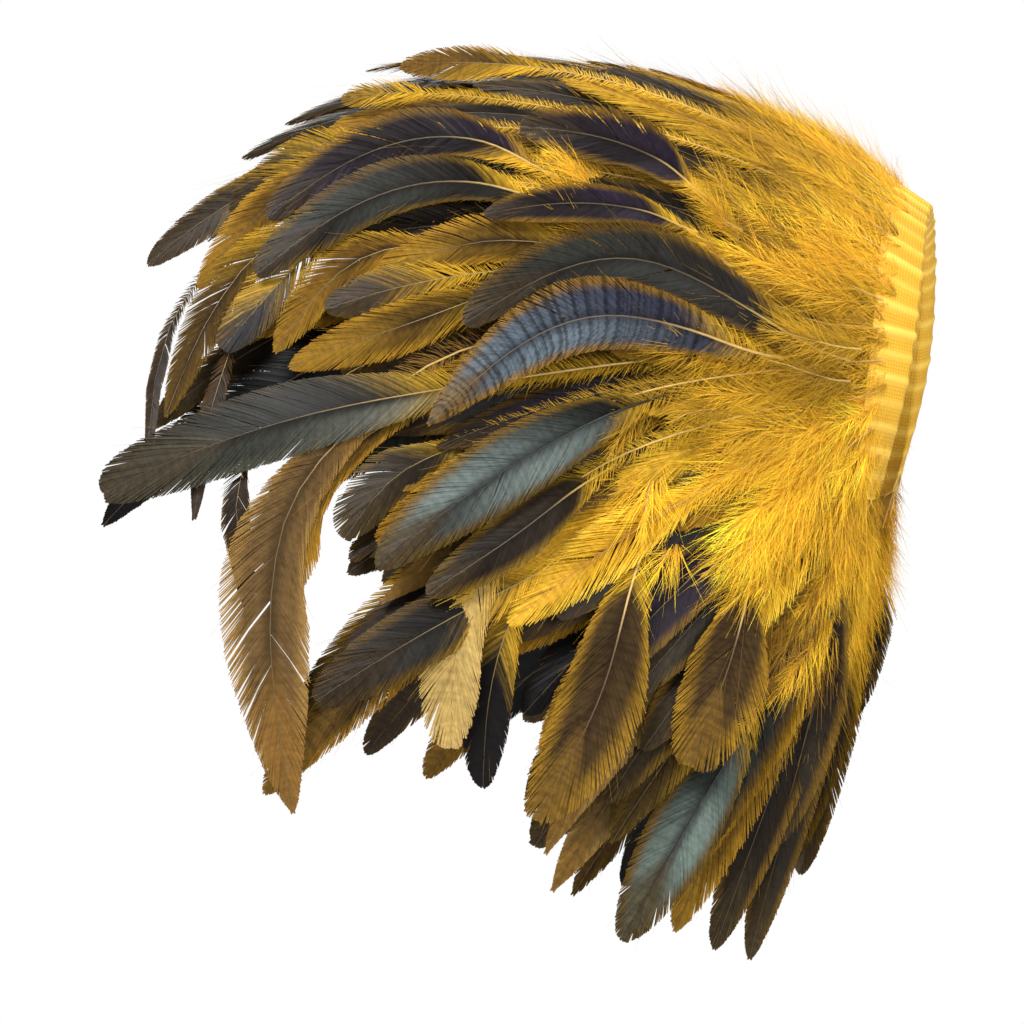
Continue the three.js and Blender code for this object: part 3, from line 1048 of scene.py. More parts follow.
@dataclass(frozen=True)
class DyeAndPaintedLight:
    """How the colours of a feather vary over it.

    Shares run along a feather from its root to its tip, and depths say how much of a colour comes through.
    Besides the feather's own colours, it paints an iridescent sheen, shade towards the roots, and light on
    parts of the down.
    """

    gloss_depth: float = 0.78
    matt_depth: float = 0.82
    matt_loose: float = 1.2
    lower_rim: float = 0.6
    # Painted sheen: waves of a sheen colour along the feather stand in for the iridescent shimmer of
    # glossy vanes.
    painted_sheen_waves: Pair = (5.0, 9.0)
    painted_sheen_aside: float = 0.6
    painted_sheen_power: float = 1.6
    painted_sheen_field: float = 0.95
    painted_sheen_shaft: float = 0.3
    end_soft: float = 0.3
    end_depth: float = 0.85
    down_sway: float = 0.05
    down_fray: float = 0.03
    down_edge: Pair = (0.14, 0.1)
    # Painted shade: the down on a feather is darker beside the shaft and a little lighter at the rim.
    down_painted_shading: Triple = (0.82, 1.0, 1.08)
    barb_noise: float = 0.07
    feather_light: Pair = (0.95, 1.1)
    loose_light: Pair = (0.35, 0.25)
    # Painted shade: loose feathers and down darken towards their roots, where others lie over them.
    painted_root_darkness: float = 0.75
    painted_root_shade_reach: float = 0.6
    green: Pair = (0.93, 1.03)
    slow_depth: float = 0.12
    slow_waves: Pair = (9.0, 16.0)
    any_phase: float = 6.0

    def plain(self, vane: Vane, side: Array) -> list[Array]:
        """Colours barbs as their sort is, the lower half apart where it differs.

        Args:
            vane: The feather's sort.
            side: 1 or -1 for the two sides of the shaft.

        Returns:
            Colours beside the shaft, in the middle and at the rim.
        """
        matt = mix(self.matt_depth, 1.0, min(1.0, self.matt_loose * vane.loose))
        depth = self.gloss_depth if vane.glossy else matt
        shaft, middle, rim = (
            depth * np.tile(linear(*tone), (len(side), 1)) for tone in (vane.shaft, vane.field, vane.rim)
        )
        if vane.lower is not None:
            low, lower = (side > 0)[:, None], linear(*vane.lower)
            middle = np.where(low, lower, middle)
            rim = np.where(low, mix(lower, rim, self.lower_rim), rim)
        return [shaft, middle, rim]

    def shades(
        self, plume: Plume, share: Array, side: Array, rng: np.random.Generator
    ) -> list[Array]:
        """Colours the barbs of a feather, with painted sheen, painted shade and the down's painted light.

        Args:
            plume: The feather.
            share: Where each barb ends along the feather.
            side: 1 or -1 for the two sides of the shaft.
            rng: The feather's own random numbers.

        Returns:
            Colours beside the shaft, in the middle and at the rim.
        """
        vane, count = plume.kind.value, len(share)
        tones = self.plain(vane, side)
        # Painted sheen: the middle and the shaft side blend in waves towards the sheen colour.
        if vane.painted_sheen is not None:
            phase = share * rng.uniform(*self.painted_sheen_waves) + rng.uniform(0.0, self.any_phase)
            wave = 0.5 + 0.5 * np.sin(phase + self.painted_sheen_aside * side)
            bright = (wave**self.painted_sheen_power * self.painted_sheen_field)[:, None]
            tones[1] = mix(tones[1], linear(*vane.painted_sheen), bright)
            tones[0] = mix(tones[0], linear(*vane.painted_sheen), (wave * self.painted_sheen_shaft)[:, None])
        end = smoothstep(share, 1.0 - vane.end_share, 1.0 - self.end_soft * vane.end_share)[:, None]
        tones = [mix(tone, linear(*vane.end), end * self.end_depth) for tone in tones]
        edge = plume.downy + self.down_sway * side * rng.uniform(-1.0, 1.0)
        frayed = share + rng.uniform(-self.down_fray, self.down_fray, count)
        down = 1.0 - smoothstep(frayed, edge - self.down_edge[0], edge + self.down_edge[1])
        # The down is made brighter or darker, partly as its own colour, partly as painted light.
        yellow = linear(*vane.down) * plume.down_dye_and_painted_light
        # Painted shade: the down darkens beside the shaft.
        down_painted_shades = zip(tones, self.down_painted_shading, strict=True)
        tones = [mix(tone, yellow * down_painted_shade, down[:, None]) for tone, down_painted_shade in down_painted_shades]
        least = self.feather_light[0] - self.loose_light[0] * vane.loose
        most = self.feather_light[1] + self.loose_light[1] * vane.loose
        each = (1.0 + rng.normal(0.0, self.barb_noise, count)) * rng.uniform(least, most)
        # Painted shade towards the roots of loose feathers and down.
        painted_root_shade = mix(self.painted_root_darkness, 1.0, smoothstep(share, 0.0, self.painted_root_shade_reach))
        each = each * mix(1.0, painted_root_shade, min(1.0, 2.0 * vane.loose))
        tones = [tone * np.array([1.0, rng.uniform(*self.green), 1.0]) for tone in tones]
        phase = share * rng.uniform(*self.slow_waves) + rng.uniform(0.0, self.any_phase)
        slow = 1.0 + self.slow_depth * np.sin(phase)
        return [tone * (each * slow)[:, None] for tone in tones]


@dataclass(frozen=True)
class Spread:
    """An amount for barbs of a closed vane, with what downy and loose ones have more."""

    closed: float
    downy: float
    loose: float

    def at(self, downy: Array, loose: float) -> Array:
        """Gives the amount for barbs that are so downy, on a feather that is so loose."""
        return self.closed + self.downy * downy + self.loose * loose


@dataclass
class Plumage:
    """A set of feathers that are joined into one mesh of barbs and one of shafts.

    Lengths are in millimetres, angles in degrees, and shares run along a feather from its root to its tip.
    """

    name: str
    slot: str
    nodes: tuple[str, ...]
    segments: int = 2
    vane_tip: float = 0.3
    down_tip: float = 0.2
    down_ribbon: float = 0.18
    stray_ribbon: float = 0.7
    quill_sides: int = 4
    quill_root: float = 0.5
    quill_tip: float = 0.1
    quill_taper: float = 0.8
    quill_width: float = 18.0
    quill_dark: float = 0.1
    quill_fade: Pair = (0.6, 0.2)
    first_barb: float = 0.05
    last_root: float = 0.995
    outline_steps: int = 400
    root_half: float = 0.36
    full_at: float = 0.55
    narrow_from: float = 0.5
    blunt: Pair = (3.0, 0.5)
    sharp: Pair = (1.3, 0.9)
    downy_edge: Pair = (0.14, 0.06)
    fine_from: float = 0.4
    loose_from: float = 0.2
    root_angle: float = 14.0
    root_angle_to: float = 0.4
    tip_angle: float = 12.0
    tip_angle_from: float = 0.7
    angle_limits: Pair = (7.0, 80.0)
    split_at: Pair = (0.3, 1.0)
    split_width: Pair = (0.015, 0.04)
    split_angle: Pair = (2.0, 7.0)
    clump: int = 7
    clump_angle: Spread = Spread(0.5, 4.5, 1.5)
    barb_angle: Spread = Spread(0.3, 3.0, 2.0)
    stray_angle: Pair = (-3.0, 4.0)
    shortest: float = 2.5
    longest: Pair = (3.4, 2.4)
    stray_length: float = 0.14
    length_noise: Spread = Spread(0.01, 0.16, 0.09)
    tilt: Spread = Spread(2.0, 5.0, 2.0)
    tilt_noise: Spread = Spread(0.8, 7.0, 2.0)
    stray_tilt: float = 4.0
    tilt_limit: float = 30.0
    roll: float = 5.0
    roll_noise: Spread = Spread(2.5, 16.0, 12.0)
    tip_crowd: float = 0.58
    tip_crowd_to: float = 0.8
    droop: float = -0.12
    droop_noise: Spread = Spread(0.0, 0.1, 0.04)
    curl: float = 0.14
    curl_noise: Spread = Spread(0.0, 0.14, 0.07)
    wave_noise: Spread = Spread(0.006, 0.1, 0.03)
    stray_wave: float = 0.04
    stray_rim: float = 0.45
    bar_shift: float = 40.0
    bar_repeat: float = 997.0
    cell_margin: Pair = (0.06, 0.15)
    cell_fill: Pair = (0.88, 0.7)
    cell_ratio: float = 4.0
    dye_and_painted_light: DyeAndPaintedLight = DyeAndPaintedLight()
    plumes: list[Plume] = field(default_factory=list)

    def half_width(self, plume: Plume, share: Array) -> Array:
        """Gives half the width of a feather along its length.

        Args:
            plume: The feather.
            share: Places along it.

        Returns:
            Half the width there, as a share of half the full width.
        """
        vane, shown = plume.kind.value, plume.shown(share)
        grown = mix(self.root_half, 1.0, smoothstep(shown, 0.0, self.full_at))
        past = np.clip((shown - self.narrow_from) / (1.0 - self.narrow_from), 0.0, 1.0)
        power, root = mix(np.array(self.blunt), np.array(self.sharp), vane.point)
        return grown * np.maximum(1.0 - past**power, 0.0) ** root

    def barb_ends(self, plume: Plume) -> tuple[Array, float]:
        """Spaces the ends of the barbs evenly along a feather's outline.

        Args:
            plume: The feather.

        Returns:
            Where each barb ends along the feather, and how far apart they are on the outline.
        """
        fine = np.linspace(self.first_barb, 1.0, self.outline_steps)
        outline = np.stack([fine * plume.length, plume.width / 2 * self.half_width(plume, fine)], -1)
        along = np.concatenate([[0.0], np.cumsum(np.linalg.norm(np.diff(outline, axis=0), axis=1))])
        ends = np.interp(np.linspace(0.0, along[-1], plume.barbs), along, fine)
        return ends, along[-1] / plume.barbs

    def barb_angles(
        self, plume: Plume, share: Array, side: Array, downy: Array, rng: np.random.Generator
    ) -> tuple[Array, Array]:
        """Gives the angles between barbs and shaft, with the splits of the vane.

        Args:
            plume: The feather.
            share: Where each barb ends along the feather.
            side: 1 or -1 for the two sides of the shaft.
            downy: How downy each barb is.
            rng: The feather's own random numbers.

        Returns:
            The angles in radians, and which barbs stand out from the vane.
        """
        vane, count, shown = plume.kind.value, len(share), plume.shown(share)
        angle = vane.angle + self.root_angle * (1.0 - smoothstep(shown, 0.0, self.root_angle_to))
        angle = mix(angle, self.tip_angle, smoothstep(shown, self.tip_angle_from, 1.0))
        for _ in range(vane.splits):
            at, wide = rng.uniform(*self.split_at), rng.uniform(*self.split_width)
            gap = np.where(side == rng.choice([-1.0, 1.0]), rng.uniform(*self.split_angle), 0.0)
            angle = angle - gap * np.sign(share - at) * np.exp(-np.abs(share - at) / wide)
        clump = np.repeat(rng.normal(0.0, 1.0, count // self.clump + 1), self.clump)[:count]
        angle = angle + clump * self.clump_angle.at(downy, vane.loose)
        angle = angle + rng.normal(0.0, 1.0, count) * self.barb_angle.at(downy, vane.loose)
        stray = (rng.uniform(size=count) < vane.stray) & (downy < self.fine_from)
        angle = angle + stray * rng.normal(*self.stray_angle, count)
        return np.radians(np.clip(angle, *self.angle_limits)), stray

    @staticmethod
    def shaft_ways(plume: Plume, at: Array) -> tuple[Array, Array, Array]:
        """Finds places along a shaft.

        Args:
            plume: The feather.
            at: Shares of its length.

        Returns:
            The points, and the ways along the shaft and off the feather's face there.
        """
        stations = np.linspace(0.0, 1.0, len(plume.path))
        lines = (plume.path, np.gradient(plume.path, axis=0), plume.normal)
        root, way, off = (
            np.stack([np.interp(at, stations, line[:, i]) for i in range(3)], -1) for line in lines
        )
        way = unit(way)
        return root, way, unit(off - np.sum(off * way, -1, keepdims=True) * way)

    def barbs_of(self, plume: Plume) -> dict[str, Array]:
        """Places the barbs of one feather.

        Args:
            plume: The feather.

        Returns:
            A value for each barb, by attribute name, and their roots as points.
        """
        vane, loose, length, half = plume.kind.value, plume.kind.value.loose, plume.length, plume.width / 2
        rng = np.random.default_rng(SEED + plume.salt)
        ends, pitch = self.barb_ends(plume)
        share, side = np.tile(ends, 2), np.repeat([1.0, -1.0], plume.barbs)
        count = len(share)
        downy = 1.0 - smoothstep(share, plume.downy - self.downy_edge[0], plume.downy + self.downy_edge[1])
        angle, stray = self.barb_angles(plume, share, side, downy, rng)
        long = np.maximum(half * self.half_width(plume, share) / np.sin(angle), self.shortest)
        long = long * (1.0 + rng.normal(0.0, 1.0, count) * self.length_noise.at(downy, loose))
        long = np.minimum(long, half * mix(*self.longest, downy))
        long = long * (1.0 + self.stray_length * stray * rng.uniform(size=count))
        at = np.clip(share - long * np.cos(angle) / length, 0.0, self.last_root)
        root, way, off = self.shaft_ways(plume, at)
        tilt = rng.normal(0.0, 1.0, count) * self.tilt_noise.at(downy, loose)
        tilt = tilt + self.tilt.at(downy, loose) + self.stray_tilt * stray
        tilt = np.radians(np.clip(tilt, -self.tilt_limit, self.tilt_limit))
        ahead = np.cos(angle)[:, None] * way + (side * np.sin(angle))[:, None] * np.cross(off, way)
        x_axis = unit(np.cos(tilt)[:, None] * ahead + np.sin(tilt)[:, None] * off)
        roll = side * self.roll + rng.normal(0.0, 1.0, count) * self.roll_noise.at(downy, loose)
        roll = np.radians(roll)[:, None]
        flat = unit(off - np.sum(off * x_axis, -1, keepdims=True) * x_axis)
        z_axis = np.cos(roll) * flat + np.sin(roll) * np.cross(flat, x_axis)
        crowd = mix(self.tip_crowd, 1.0, smoothstep(plume.shown(share), self.tip_crowd_to, 1.0))
        wide = mix(pitch * crowd * vane.close, self.down_ribbon, downy**0.5)
        wide = np.where(stray, self.stray_ribbon * self.down_ribbon, wide)
        droop = self.droop + rng.normal(0.0, 1.0, count) * self.droop_noise.at(downy, loose)
        curl = self.curl + rng.normal(0.0, 1.0, count) * self.curl_noise.at(downy, loose)
        waved = self.wave_noise.at(downy, loose) + self.stray_wave * stray
        wave = rng.normal(0.0, 1.0, (count, 3)) * waved[:, None]
        bend = long[:, None] * (droop[:, None] * off + curl[:, None] * way + wave)
        shaft, middle, rim = self.dye_and_painted_light.shades(plume, share, side, rng)
        shift = self.bar_shift * plume.salt % self.bar_repeat
        return {
            "root": root,
            "turned": euler_of(x_axis, np.cross(z_axis, x_axis), z_axis),
            "size": np.stack([long, wide, np.ones(count)], -1) * MM,
            "bend": bend * MM,
            "shade_shaft": shaft,
            "shade_field": middle,
            "shade_rim": np.where(stray[:, None], mix(rim, linear(*vane.down), self.stray_rim), rim),
            "from_at": at * length + shift,
            "to_at": share * length + shift,
            "barred": vane.bars * (1.0 - np.clip(downy * 2.0, 0.0, 1.0)),
            "fine": (downy > self.fine_from) | (loose > self.loose_from) | stray,
            "glossy": np.full(count, vane.glossy) & (downy < self.fine_from),
        }

    def build_barbs(
        self, tree: GrowTree, soft: Material, glossy: Material
    ) -> bpy.types.Object:
        """Grows the barbs of all feathers as one mesh.

        Args:
            tree: The tree that grows barbs.
            soft: The finish of down and matt vanes.
            glossy: The finish of glossy vanes.

        Returns:
            The piece. Each barb has a cell of its own on the map OFBake.
        """
        grown = [self.barbs_of(plume) for plume in self.plumes if plume.barbs]
        table = {name: np.concatenate([one[name] for one in grown]) for name in grown[0]}
        count = len(table["root"])
        columns = max(1, int(math.sqrt(count / self.cell_ratio)))
        rows = math.ceil(count / columns)
        place = np.arange(count)
        across = (place % columns + self.cell_margin[0]) / columns
        upwards = (place // columns + self.cell_margin[1]) / rows
        table["cell"] = np.stack([across, upwards, 0.0 * place], -1)
        mesh = bpy.data.meshes.new(self.name)
        mesh.from_pydata((table["root"] * MM).tolist(), [], [])
        for name in ("cell", "turned", "size", "bend"):
            write_attribute(mesh, name, "FLOAT_VECTOR", table[name].astype(np.float32))
        for name in ("shade_shaft", "shade_field", "shade_rim"):
            write_colours(mesh, name, np.clip(table[name], 0.0, 1.0))
        for name in ("from_at", "to_at", "barred"):
            write_attribute(mesh, name, "FLOAT", table[name].astype(np.float32))
        for name in ("fine", "glossy"):
            write_attribute(mesh, name, "BOOLEAN", table[name])
        piece = new_piece(self.name, mesh, self.slot, self.nodes)
        sizes = {"Segments": self.segments, "Vane tip": self.vane_tip, "Down tip": self.down_tip}
        cells = {"Cell width": self.cell_fill[0] / columns, "Cell height": self.cell_fill[1] / rows}
        tree.run(piece, {**sizes, **cells, "Soft": soft, "Glossy": glossy})
        return piece

    def build_shafts(self, tree: GrowTree, material: Material) -> bpy.types.Object:
        """Makes the shafts of all feathers as one mesh.

        Args:
            tree: The tree that makes shafts from lines.
            material: The finish of the quills.

        Returns:
            The piece.
        """
        girths, tones = [], []
        for plume in self.plumes:
            share, vane = np.linspace(0.0, 1.0, len(plume.path)), plume.kind.value
            thick = mix(self.quill_root, self.quill_tip, share**self.quill_taper)
            girths.append(thick * math.sqrt(plume.width / self.quill_width) * MM)
            pale, dark = linear(*vane.quill), linear(*vane.shaft)
            dark = mix(dark, pale, self.quill_dark)
            fade = (plume.downy * self.quill_fade[0], plume.downy + self.quill_fade[1])
            tones.append(mix(pale, dark, smoothstep(share, *fade)[:, None]))
        mesh = line_mesh(f"{self.name}_shafts", [plume.path for plume in self.plumes])
        write_attribute(mesh, "girth", "FLOAT", np.concatenate(girths).astype(np.float32))
        write_colours(mesh, "shade", np.concatenate(tones))
        piece = new_piece(f"{self.name}_shafts", mesh, self.slot)
        tree.run(piece, {"Sides": self.quill_sides, "Material": material})
        return piece


@dataclass
class FeatherCoat:
    """All sewn rows of feathers, with the ones that lie in plain sight.

    Lengths are in millimetres and angles in degrees. Shares run along a feather from its root to its tip.
    """

    rows: tuple[Row, ...] = ROWS
    showpieces: tuple[Showpiece, ...] = SHOWPIECES
    stations: int = 24
    least_barbs: int = 20
    barb_pitch: float = 0.44
    loose_barbs: float = 0.8
    bow: float = 5.0
    twist_root: float = 9.0
    twist_tip: float = 10.0
    last_turn: float = 1.02
    all_downy: float = 1.2
    # Feathers that follow their row: a long one over each blade of the solid, and a short one beside it.
    end_length: float = 0.8
    end_from: float = 0.35
    length_spread: float = 0.1
    drift: float = 0.2
    sewn_past: float = 1.0
    crossing: float = 0.55
    long_reach: float = 0.97
    short_reach: float = 0.84
    short_spread: float = 0.2
    short_aside: float = 0.5
    short_stray: float = 0.3
    short_lift: float = 0.7
    # Bare ends of quills.
    quill_stations: int = 10
    quill_from: float = 9.0
    quill_reach: float = 24.0
    quill_spread: float = 16.0
    quill_drift: float = 0.02
    quill_lift: float = 2.4
    quill_arch: float = 1.6
    quill_bend: float = 0.8
    quill_width: float = 15.0
    quill_salt: int = 8000
    # Feathers in plain sight. From the top layer on, their roots show, and tufts of down lie over them.
    top_layer: float = 3.8
    shown_salt: int = 9000
    shown_wild: float = 0.25
    shown_arch: float = 2.0
    shown_rise: float = 0.3
    shown_sink: float = 4.5
    shown_downy: float = 0.2
    turn_length: float = 120.0
    lead_back: float = 0.25
    lead_turns: Pair = (-0.97, 0.1)
    seam_past: float = 12.0
    seam_least: float = 4.0
    tuft_salt: int = 9500
    tuft_stations: int = 8
    tuft_clear: float = 13.0
    tuft_share: Pair = (-0.6, 0.22)
    tuft_least: float = -0.3
    tuft_pair: tuple[Pair, ...] = ((-0.015, 0.7), (0.015, 0.8))
    tuft_sink: float = 7.5
    tuft_rise: float = 9.0
    tuft_risen: float = 0.1
    tuft_step: float = 0.4
    tuft_width: float = 0.7
    # Broad tufts over the front, below the middle of the tape.
    fluff_tufts: int = 15
    fluff_salt: int = 9800
    fluff_turns: Pair = (-0.8, -0.695)
    fluff_drift: float = 0.012
    fluff_from: Pair = (30.0, 54.0)
    fluff_reach: Pair = (28.0, 38.0)
    fluff_lift: Pair = (0.5, 3.5)
    fluff_width: float = 18.0
    fluff_wild: float = 0.4

    def barb_count(self, kind: Kind, length: float) -> int:
        """Gives the barbs on each side of a feather of a sort and length."""
        close = 1.0 + self.loose_barbs * kind.value.loose
        return max(self.least_barbs, int(length / self.barb_pitch * close))

    def plume(
        self,
        kind: Kind,
        turn: Array,
        distance: Array,
        height: Array,
        width: float,
        salt: int,
        downy: float,
        start: float = 0.0,
        wild: float = 1.0,
    ) -> Plume:
        """Lays one feather over the surface.

        Args:
            kind: Its sort.
            turn: Its turn at each station.
            distance: Its distance from the fold at each station.
            height: Its height at each station.
            width: Its full width.
            salt: A number that makes its random numbers its own.
            downy: The share of its length that is downy.
            start: The share of its length where its vane starts.
            wild: How far it bows and twists of its own.

        Returns:
            The feather, with a slight twist and bow of its own.
        """
        path, normal = FLOW.place(turn, distance, height)
        wide = np.cross(normal, unit(np.gradient(path, axis=0)))
        share = np.linspace(0.0, 1.0, len(path))
        rng = np.random.default_rng(SEED * 31 + salt)
        bow = rng.normal(0.0, 1.0) * self.bow * wild
        path = path + wide * (bow * share**2)[:, None]
        twist = rng.normal(0.0, self.twist_root) + rng.normal(0.0, self.twist_tip) * share
        twist = np.radians(wild * twist)[:, None]
        normal = unit(np.cos(twist) * normal + np.sin(twist) * wide)
        along = np.concatenate([[0.0], np.cumsum(np.linalg.norm(np.diff(path, axis=0), axis=1))])
        even = np.linspace(0.0, along[-1], len(path))
        path, normal = (
            np.stack([np.interp(even, along, line) for line in lines.T], -1) for lines in (path, normal)
        )
        moved = float(np.interp(start, share, along / along[-1]))
        barbs = self.barb_count(kind, along[-1])
        soft = downy + moved - start
        return Plume(kind, path, unit(normal), width, salt, barbs, soft, moved, FLOW.down_dye_and_painted_light(turn))

    def row_plumes(self, index: int) -> list[Plume]:
        """Lays the feathers of one row.

        Args:
            index: The row's number.

        Returns:
            A feather over each blade of the row's solid, and a shorter one between it and the next.
        """
        row = self.rows[index]
        turns = FLOW.even_turns(row.span, row.count, row.share * FLOW.top_width + row.length / 3)
        share = np.linspace(0.0, 1.0, self.stations)
        made = []
        for i, turn in enumerate(turns):
            room = turn - turns[i - 1] if i else turns[1] - turn
            ends = mix(1.0, self.end_length, float(smoothstep(abs(turn), self.end_from, 1.0)))
            times = ends * (1 + 2 * self.length_spread * float(uneven(i, index)))
            length = row.length * times * ODD.get((index, i), 1.0)
            drift = self.drift * room * 2 * float(uneven(i, index + 7))
            aside = room * (self.short_aside + self.short_stray * float(uneven(i, index + 3)))
            short = self.short_reach + self.short_spread * float(uneven(i, index + 5))
            lift = self.crossing if i % 2 else -self.crossing
            start = row.share * FLOW.cap_width(turn) + self.sewn_past
            for part, reach in enumerate((self.long_reach, short)):
                middle = np.clip(turn + drift * share + part * aside, -self.last_turn, self.last_turn)
                distance = start + length * reach * share
                height = FLOW.layer_height(middle, distance, row.layer) + lift + self.short_lift * part
                kind = row.kinds[(i * 2 + part * 3 + index) % len(row.kinds)]
                salt = 1000 * (index + 1) + 2 * i + part
                downy = max(row.downy, kind.value.down_share)
                made.append(self.plume(kind, middle, distance, height, row.width, salt, downy))
        return made

    def bare_quills(self, count: int) -> list[Plume]:
        """Lays the bare ends of quills that show between the tape and the down.

        Args:
            count: How many parts they divide the tape into.

        Returns:
            The quills, as feathers without barbs.
        """
        made = []
        share = np.linspace(0.0, 1.0, self.quill_stations)
        for i, turn in enumerate(np.linspace(-1.0, 1.0, count + 1)[1:-1]):
            reach = self.quill_reach + self.quill_spread * float(uneven(i, 2))
            distance = self.quill_from * float(FLOW.slant(turn)) + reach * share
            middle = np.clip(turn + self.quill_drift * float(uneven(i, 6)) * share, -1.0, 1.0)
            lift = self.quill_lift + self.quill_arch * np.sin(np.pi * share * self.quill_bend)
            height = FLOW.layer_height(middle, distance, TAPE_LAYER) + lift
            path, normal = FLOW.place(middle, distance, height)
            made.append(Plume(Kind.TAN, path, normal, self.quill_width, self.quill_salt + i, 0, 1.0))
        return made

    def shown_plume(self, shown: Showpiece, salt: int) -> Plume:
        """Lays one feather by where it is seen from the front.

        Args:
            shown: The feather's sort, size and place.
            salt: A number that makes its random numbers its own.

        Returns:
            The feather, with its quill led back to the seam of its row where its root is hidden.
        """
        row = self.row_of(shown)
        seen = (shown.root, shown.middle, shown.tip)
        knots = np.array([FLOW.front_place(x, z, shown.layer) for x, z in seen])
        on_top = shown.layer >= self.top_layer
        if not on_top:
            root, middle = knots[:2]
            turn = np.clip(root[0] + self.lead_back * (root[0] - middle[0]), *self.lead_turns)
            sewn = self.rows[row].share * float(FLOW.cap_width(turn)) + self.seam_past
            knots = np.concatenate([[[turn, min(sewn, root[1] - self.seam_least)]], knots])
        steps = np.hypot(np.diff(knots[:, 0]) * self.turn_length, np.diff(knots[:, 1]))
        reach = np.concatenate([[0.0], np.cumsum(steps)])
        place = np.linspace(0.0, reach[-1], self.stations)
        turn, distance = (self.eased(place, reach, knots[:, i]) for i in range(2))
        share, bare = place / reach[-1], 0.0 if on_top else reach[1] / reach[-1]
        shown_at = FLOW.shown_height(shown.layer, distance) + self.shown_arch * np.sin(np.pi * share)
        risen = smoothstep(share, 0.0, max(bare, self.shown_rise))
        if on_top:
            height, downy = shown_at - self.shown_sink * (1.0 - risen), self.shown_downy
        else:
            sewn = FLOW.layer_height(turn, distance, float(row)) + self.sewn_past
            height, downy = mix(sewn, shown_at, risen), bare + shown.fluff
        plume = self.plume(
            shown.kind, turn, distance, height, shown.width, salt, downy, bare, self.shown_wild
        )
        turned = smoothstep(np.linspace(0.0, 1.0, self.stations), 0.0, max(bare, self.shown_rise))
        plume.normal = unit(plume.normal + turned[:, None] * FRONT)
        return plume

    def root_tufts(self, shown: Showpiece, salt: int) -> list[Plume]:
        """Lays tufts of down over the root of a feather that starts in plain sight.

        Args:
            shown: The feather.
            salt: A number that makes the tufts' random numbers their own.

        Returns:
            The tufts, or none where the tape is too near.
        """
        seen = (shown.root, shown.middle)
        root, middle = (np.array(FLOW.front_place(x, z, shown.layer)) for x, z in seen)
        clear = self.tuft_clear * float(FLOW.slant(root[0])) - root[1]
        nearest = clear / max(middle[1] - root[1], 1.0)
        made = []
        if nearest > self.tuft_least:
            return made
        share = np.linspace(max(self.tuft_share[0], nearest), self.tuft_share[1], self.tuft_stations)
        for i, (aside, reach) in enumerate(self.tuft_pair):
            turn, distance = (root + reach * share[:, None] * (middle - root)).T
            rise = self.tuft_rise * smoothstep(share, share[0], self.tuft_risen)
            height = FLOW.shown_height(shown.layer, distance) - self.tuft_sink + rise + self.tuft_step * i
            turn = np.clip(turn + aside * (1.0 - share), -self.last_turn, self.last_turn)
            width = shown.width * self.tuft_width
            made.append(self.plume(Kind.DOWN, turn, distance, height, width, salt + i, self.all_downy))
        return made

    def front_fluff(self) -> list[Plume]:
        """Lays broad tufts of down over the front, below the middle of the tape.

        Returns:
            The tufts.
        """
        made = []
        share = np.linspace(0.0, 1.0, self.tuft_stations)
        for i in range(self.fluff_tufts):
            rng = np.random.default_rng(SEED * 53 + i)
            turn = rng.uniform(*self.fluff_turns) + rng.normal(0.0, self.fluff_drift) * share
            distance = rng.uniform(*self.fluff_from) + rng.uniform(*self.fluff_reach) * share
            lift = 1.0 + rng.uniform(*self.fluff_lift) * share
            height = FLOW.layer_height(turn, distance, TAPE_LAYER) + lift
            salt = self.fluff_salt + i
            made.append(
                self.plume(
                    Kind.DOWN, turn, distance, height, self.fluff_width, salt, self.all_downy,
                    wild=self.fluff_wild,
                )
            )
        return made

    def row_of(self, shown: Showpiece) -> int:
        """Gives the row that a feather in plain sight is sewn into."""
        return min(len(self.rows) - 1, max(0, round(shown.layer)))

    @staticmethod
    def eased(place: Array, reach: Array, values: Array) -> Array:
        """Runs smoothly through values that belong to places along a line.

        Args:
            place: The places that are wanted.
            reach: The places of the values.
            values: The values.

        Returns:
            A value for each place that is wanted.
        """
        slopes = np.gradient(values, reach)
        part = np.clip(np.searchsorted(reach, place, side="right") - 1, 0, len(reach) - 2)
        span = reach[part + 1] - reach[part]
        t = (place - reach[part]) / span
        first = (1 + 2 * t) * (1 - t) ** 2 * values[part] + t * (1 - t) ** 2 * span * slopes[part]
        return first + t * t * (3 - 2 * t) * values[part + 1] + t * t * (t - 1) * span * slopes[part + 1]

    def plumages(self) -> list[Plumage]:
        """Sorts all feathers into one set for each row.

        Returns:
            The sets, from the outermost row to the one beside the tape.
        """
        sets = [Plumage(row.name, row.slot, (row.node,)) for row in self.rows]
        for index, plumage in enumerate(sets):
            plumage.plumes.extend(self.row_plumes(index))
        for i, shown in enumerate(self.showpieces):
            sets[self.row_of(shown)].plumes.append(self.shown_plume(shown, self.shown_salt + i))
            if shown.layer >= self.top_layer:
                sets[-1].plumes.extend(self.root_tufts(shown, self.tuft_salt + 5 * i))
        sets[-1].plumes.extend(self.front_fluff())
        sets[-1].plumes.extend(self.bare_quills(ClothParts.ribs))
        return sets


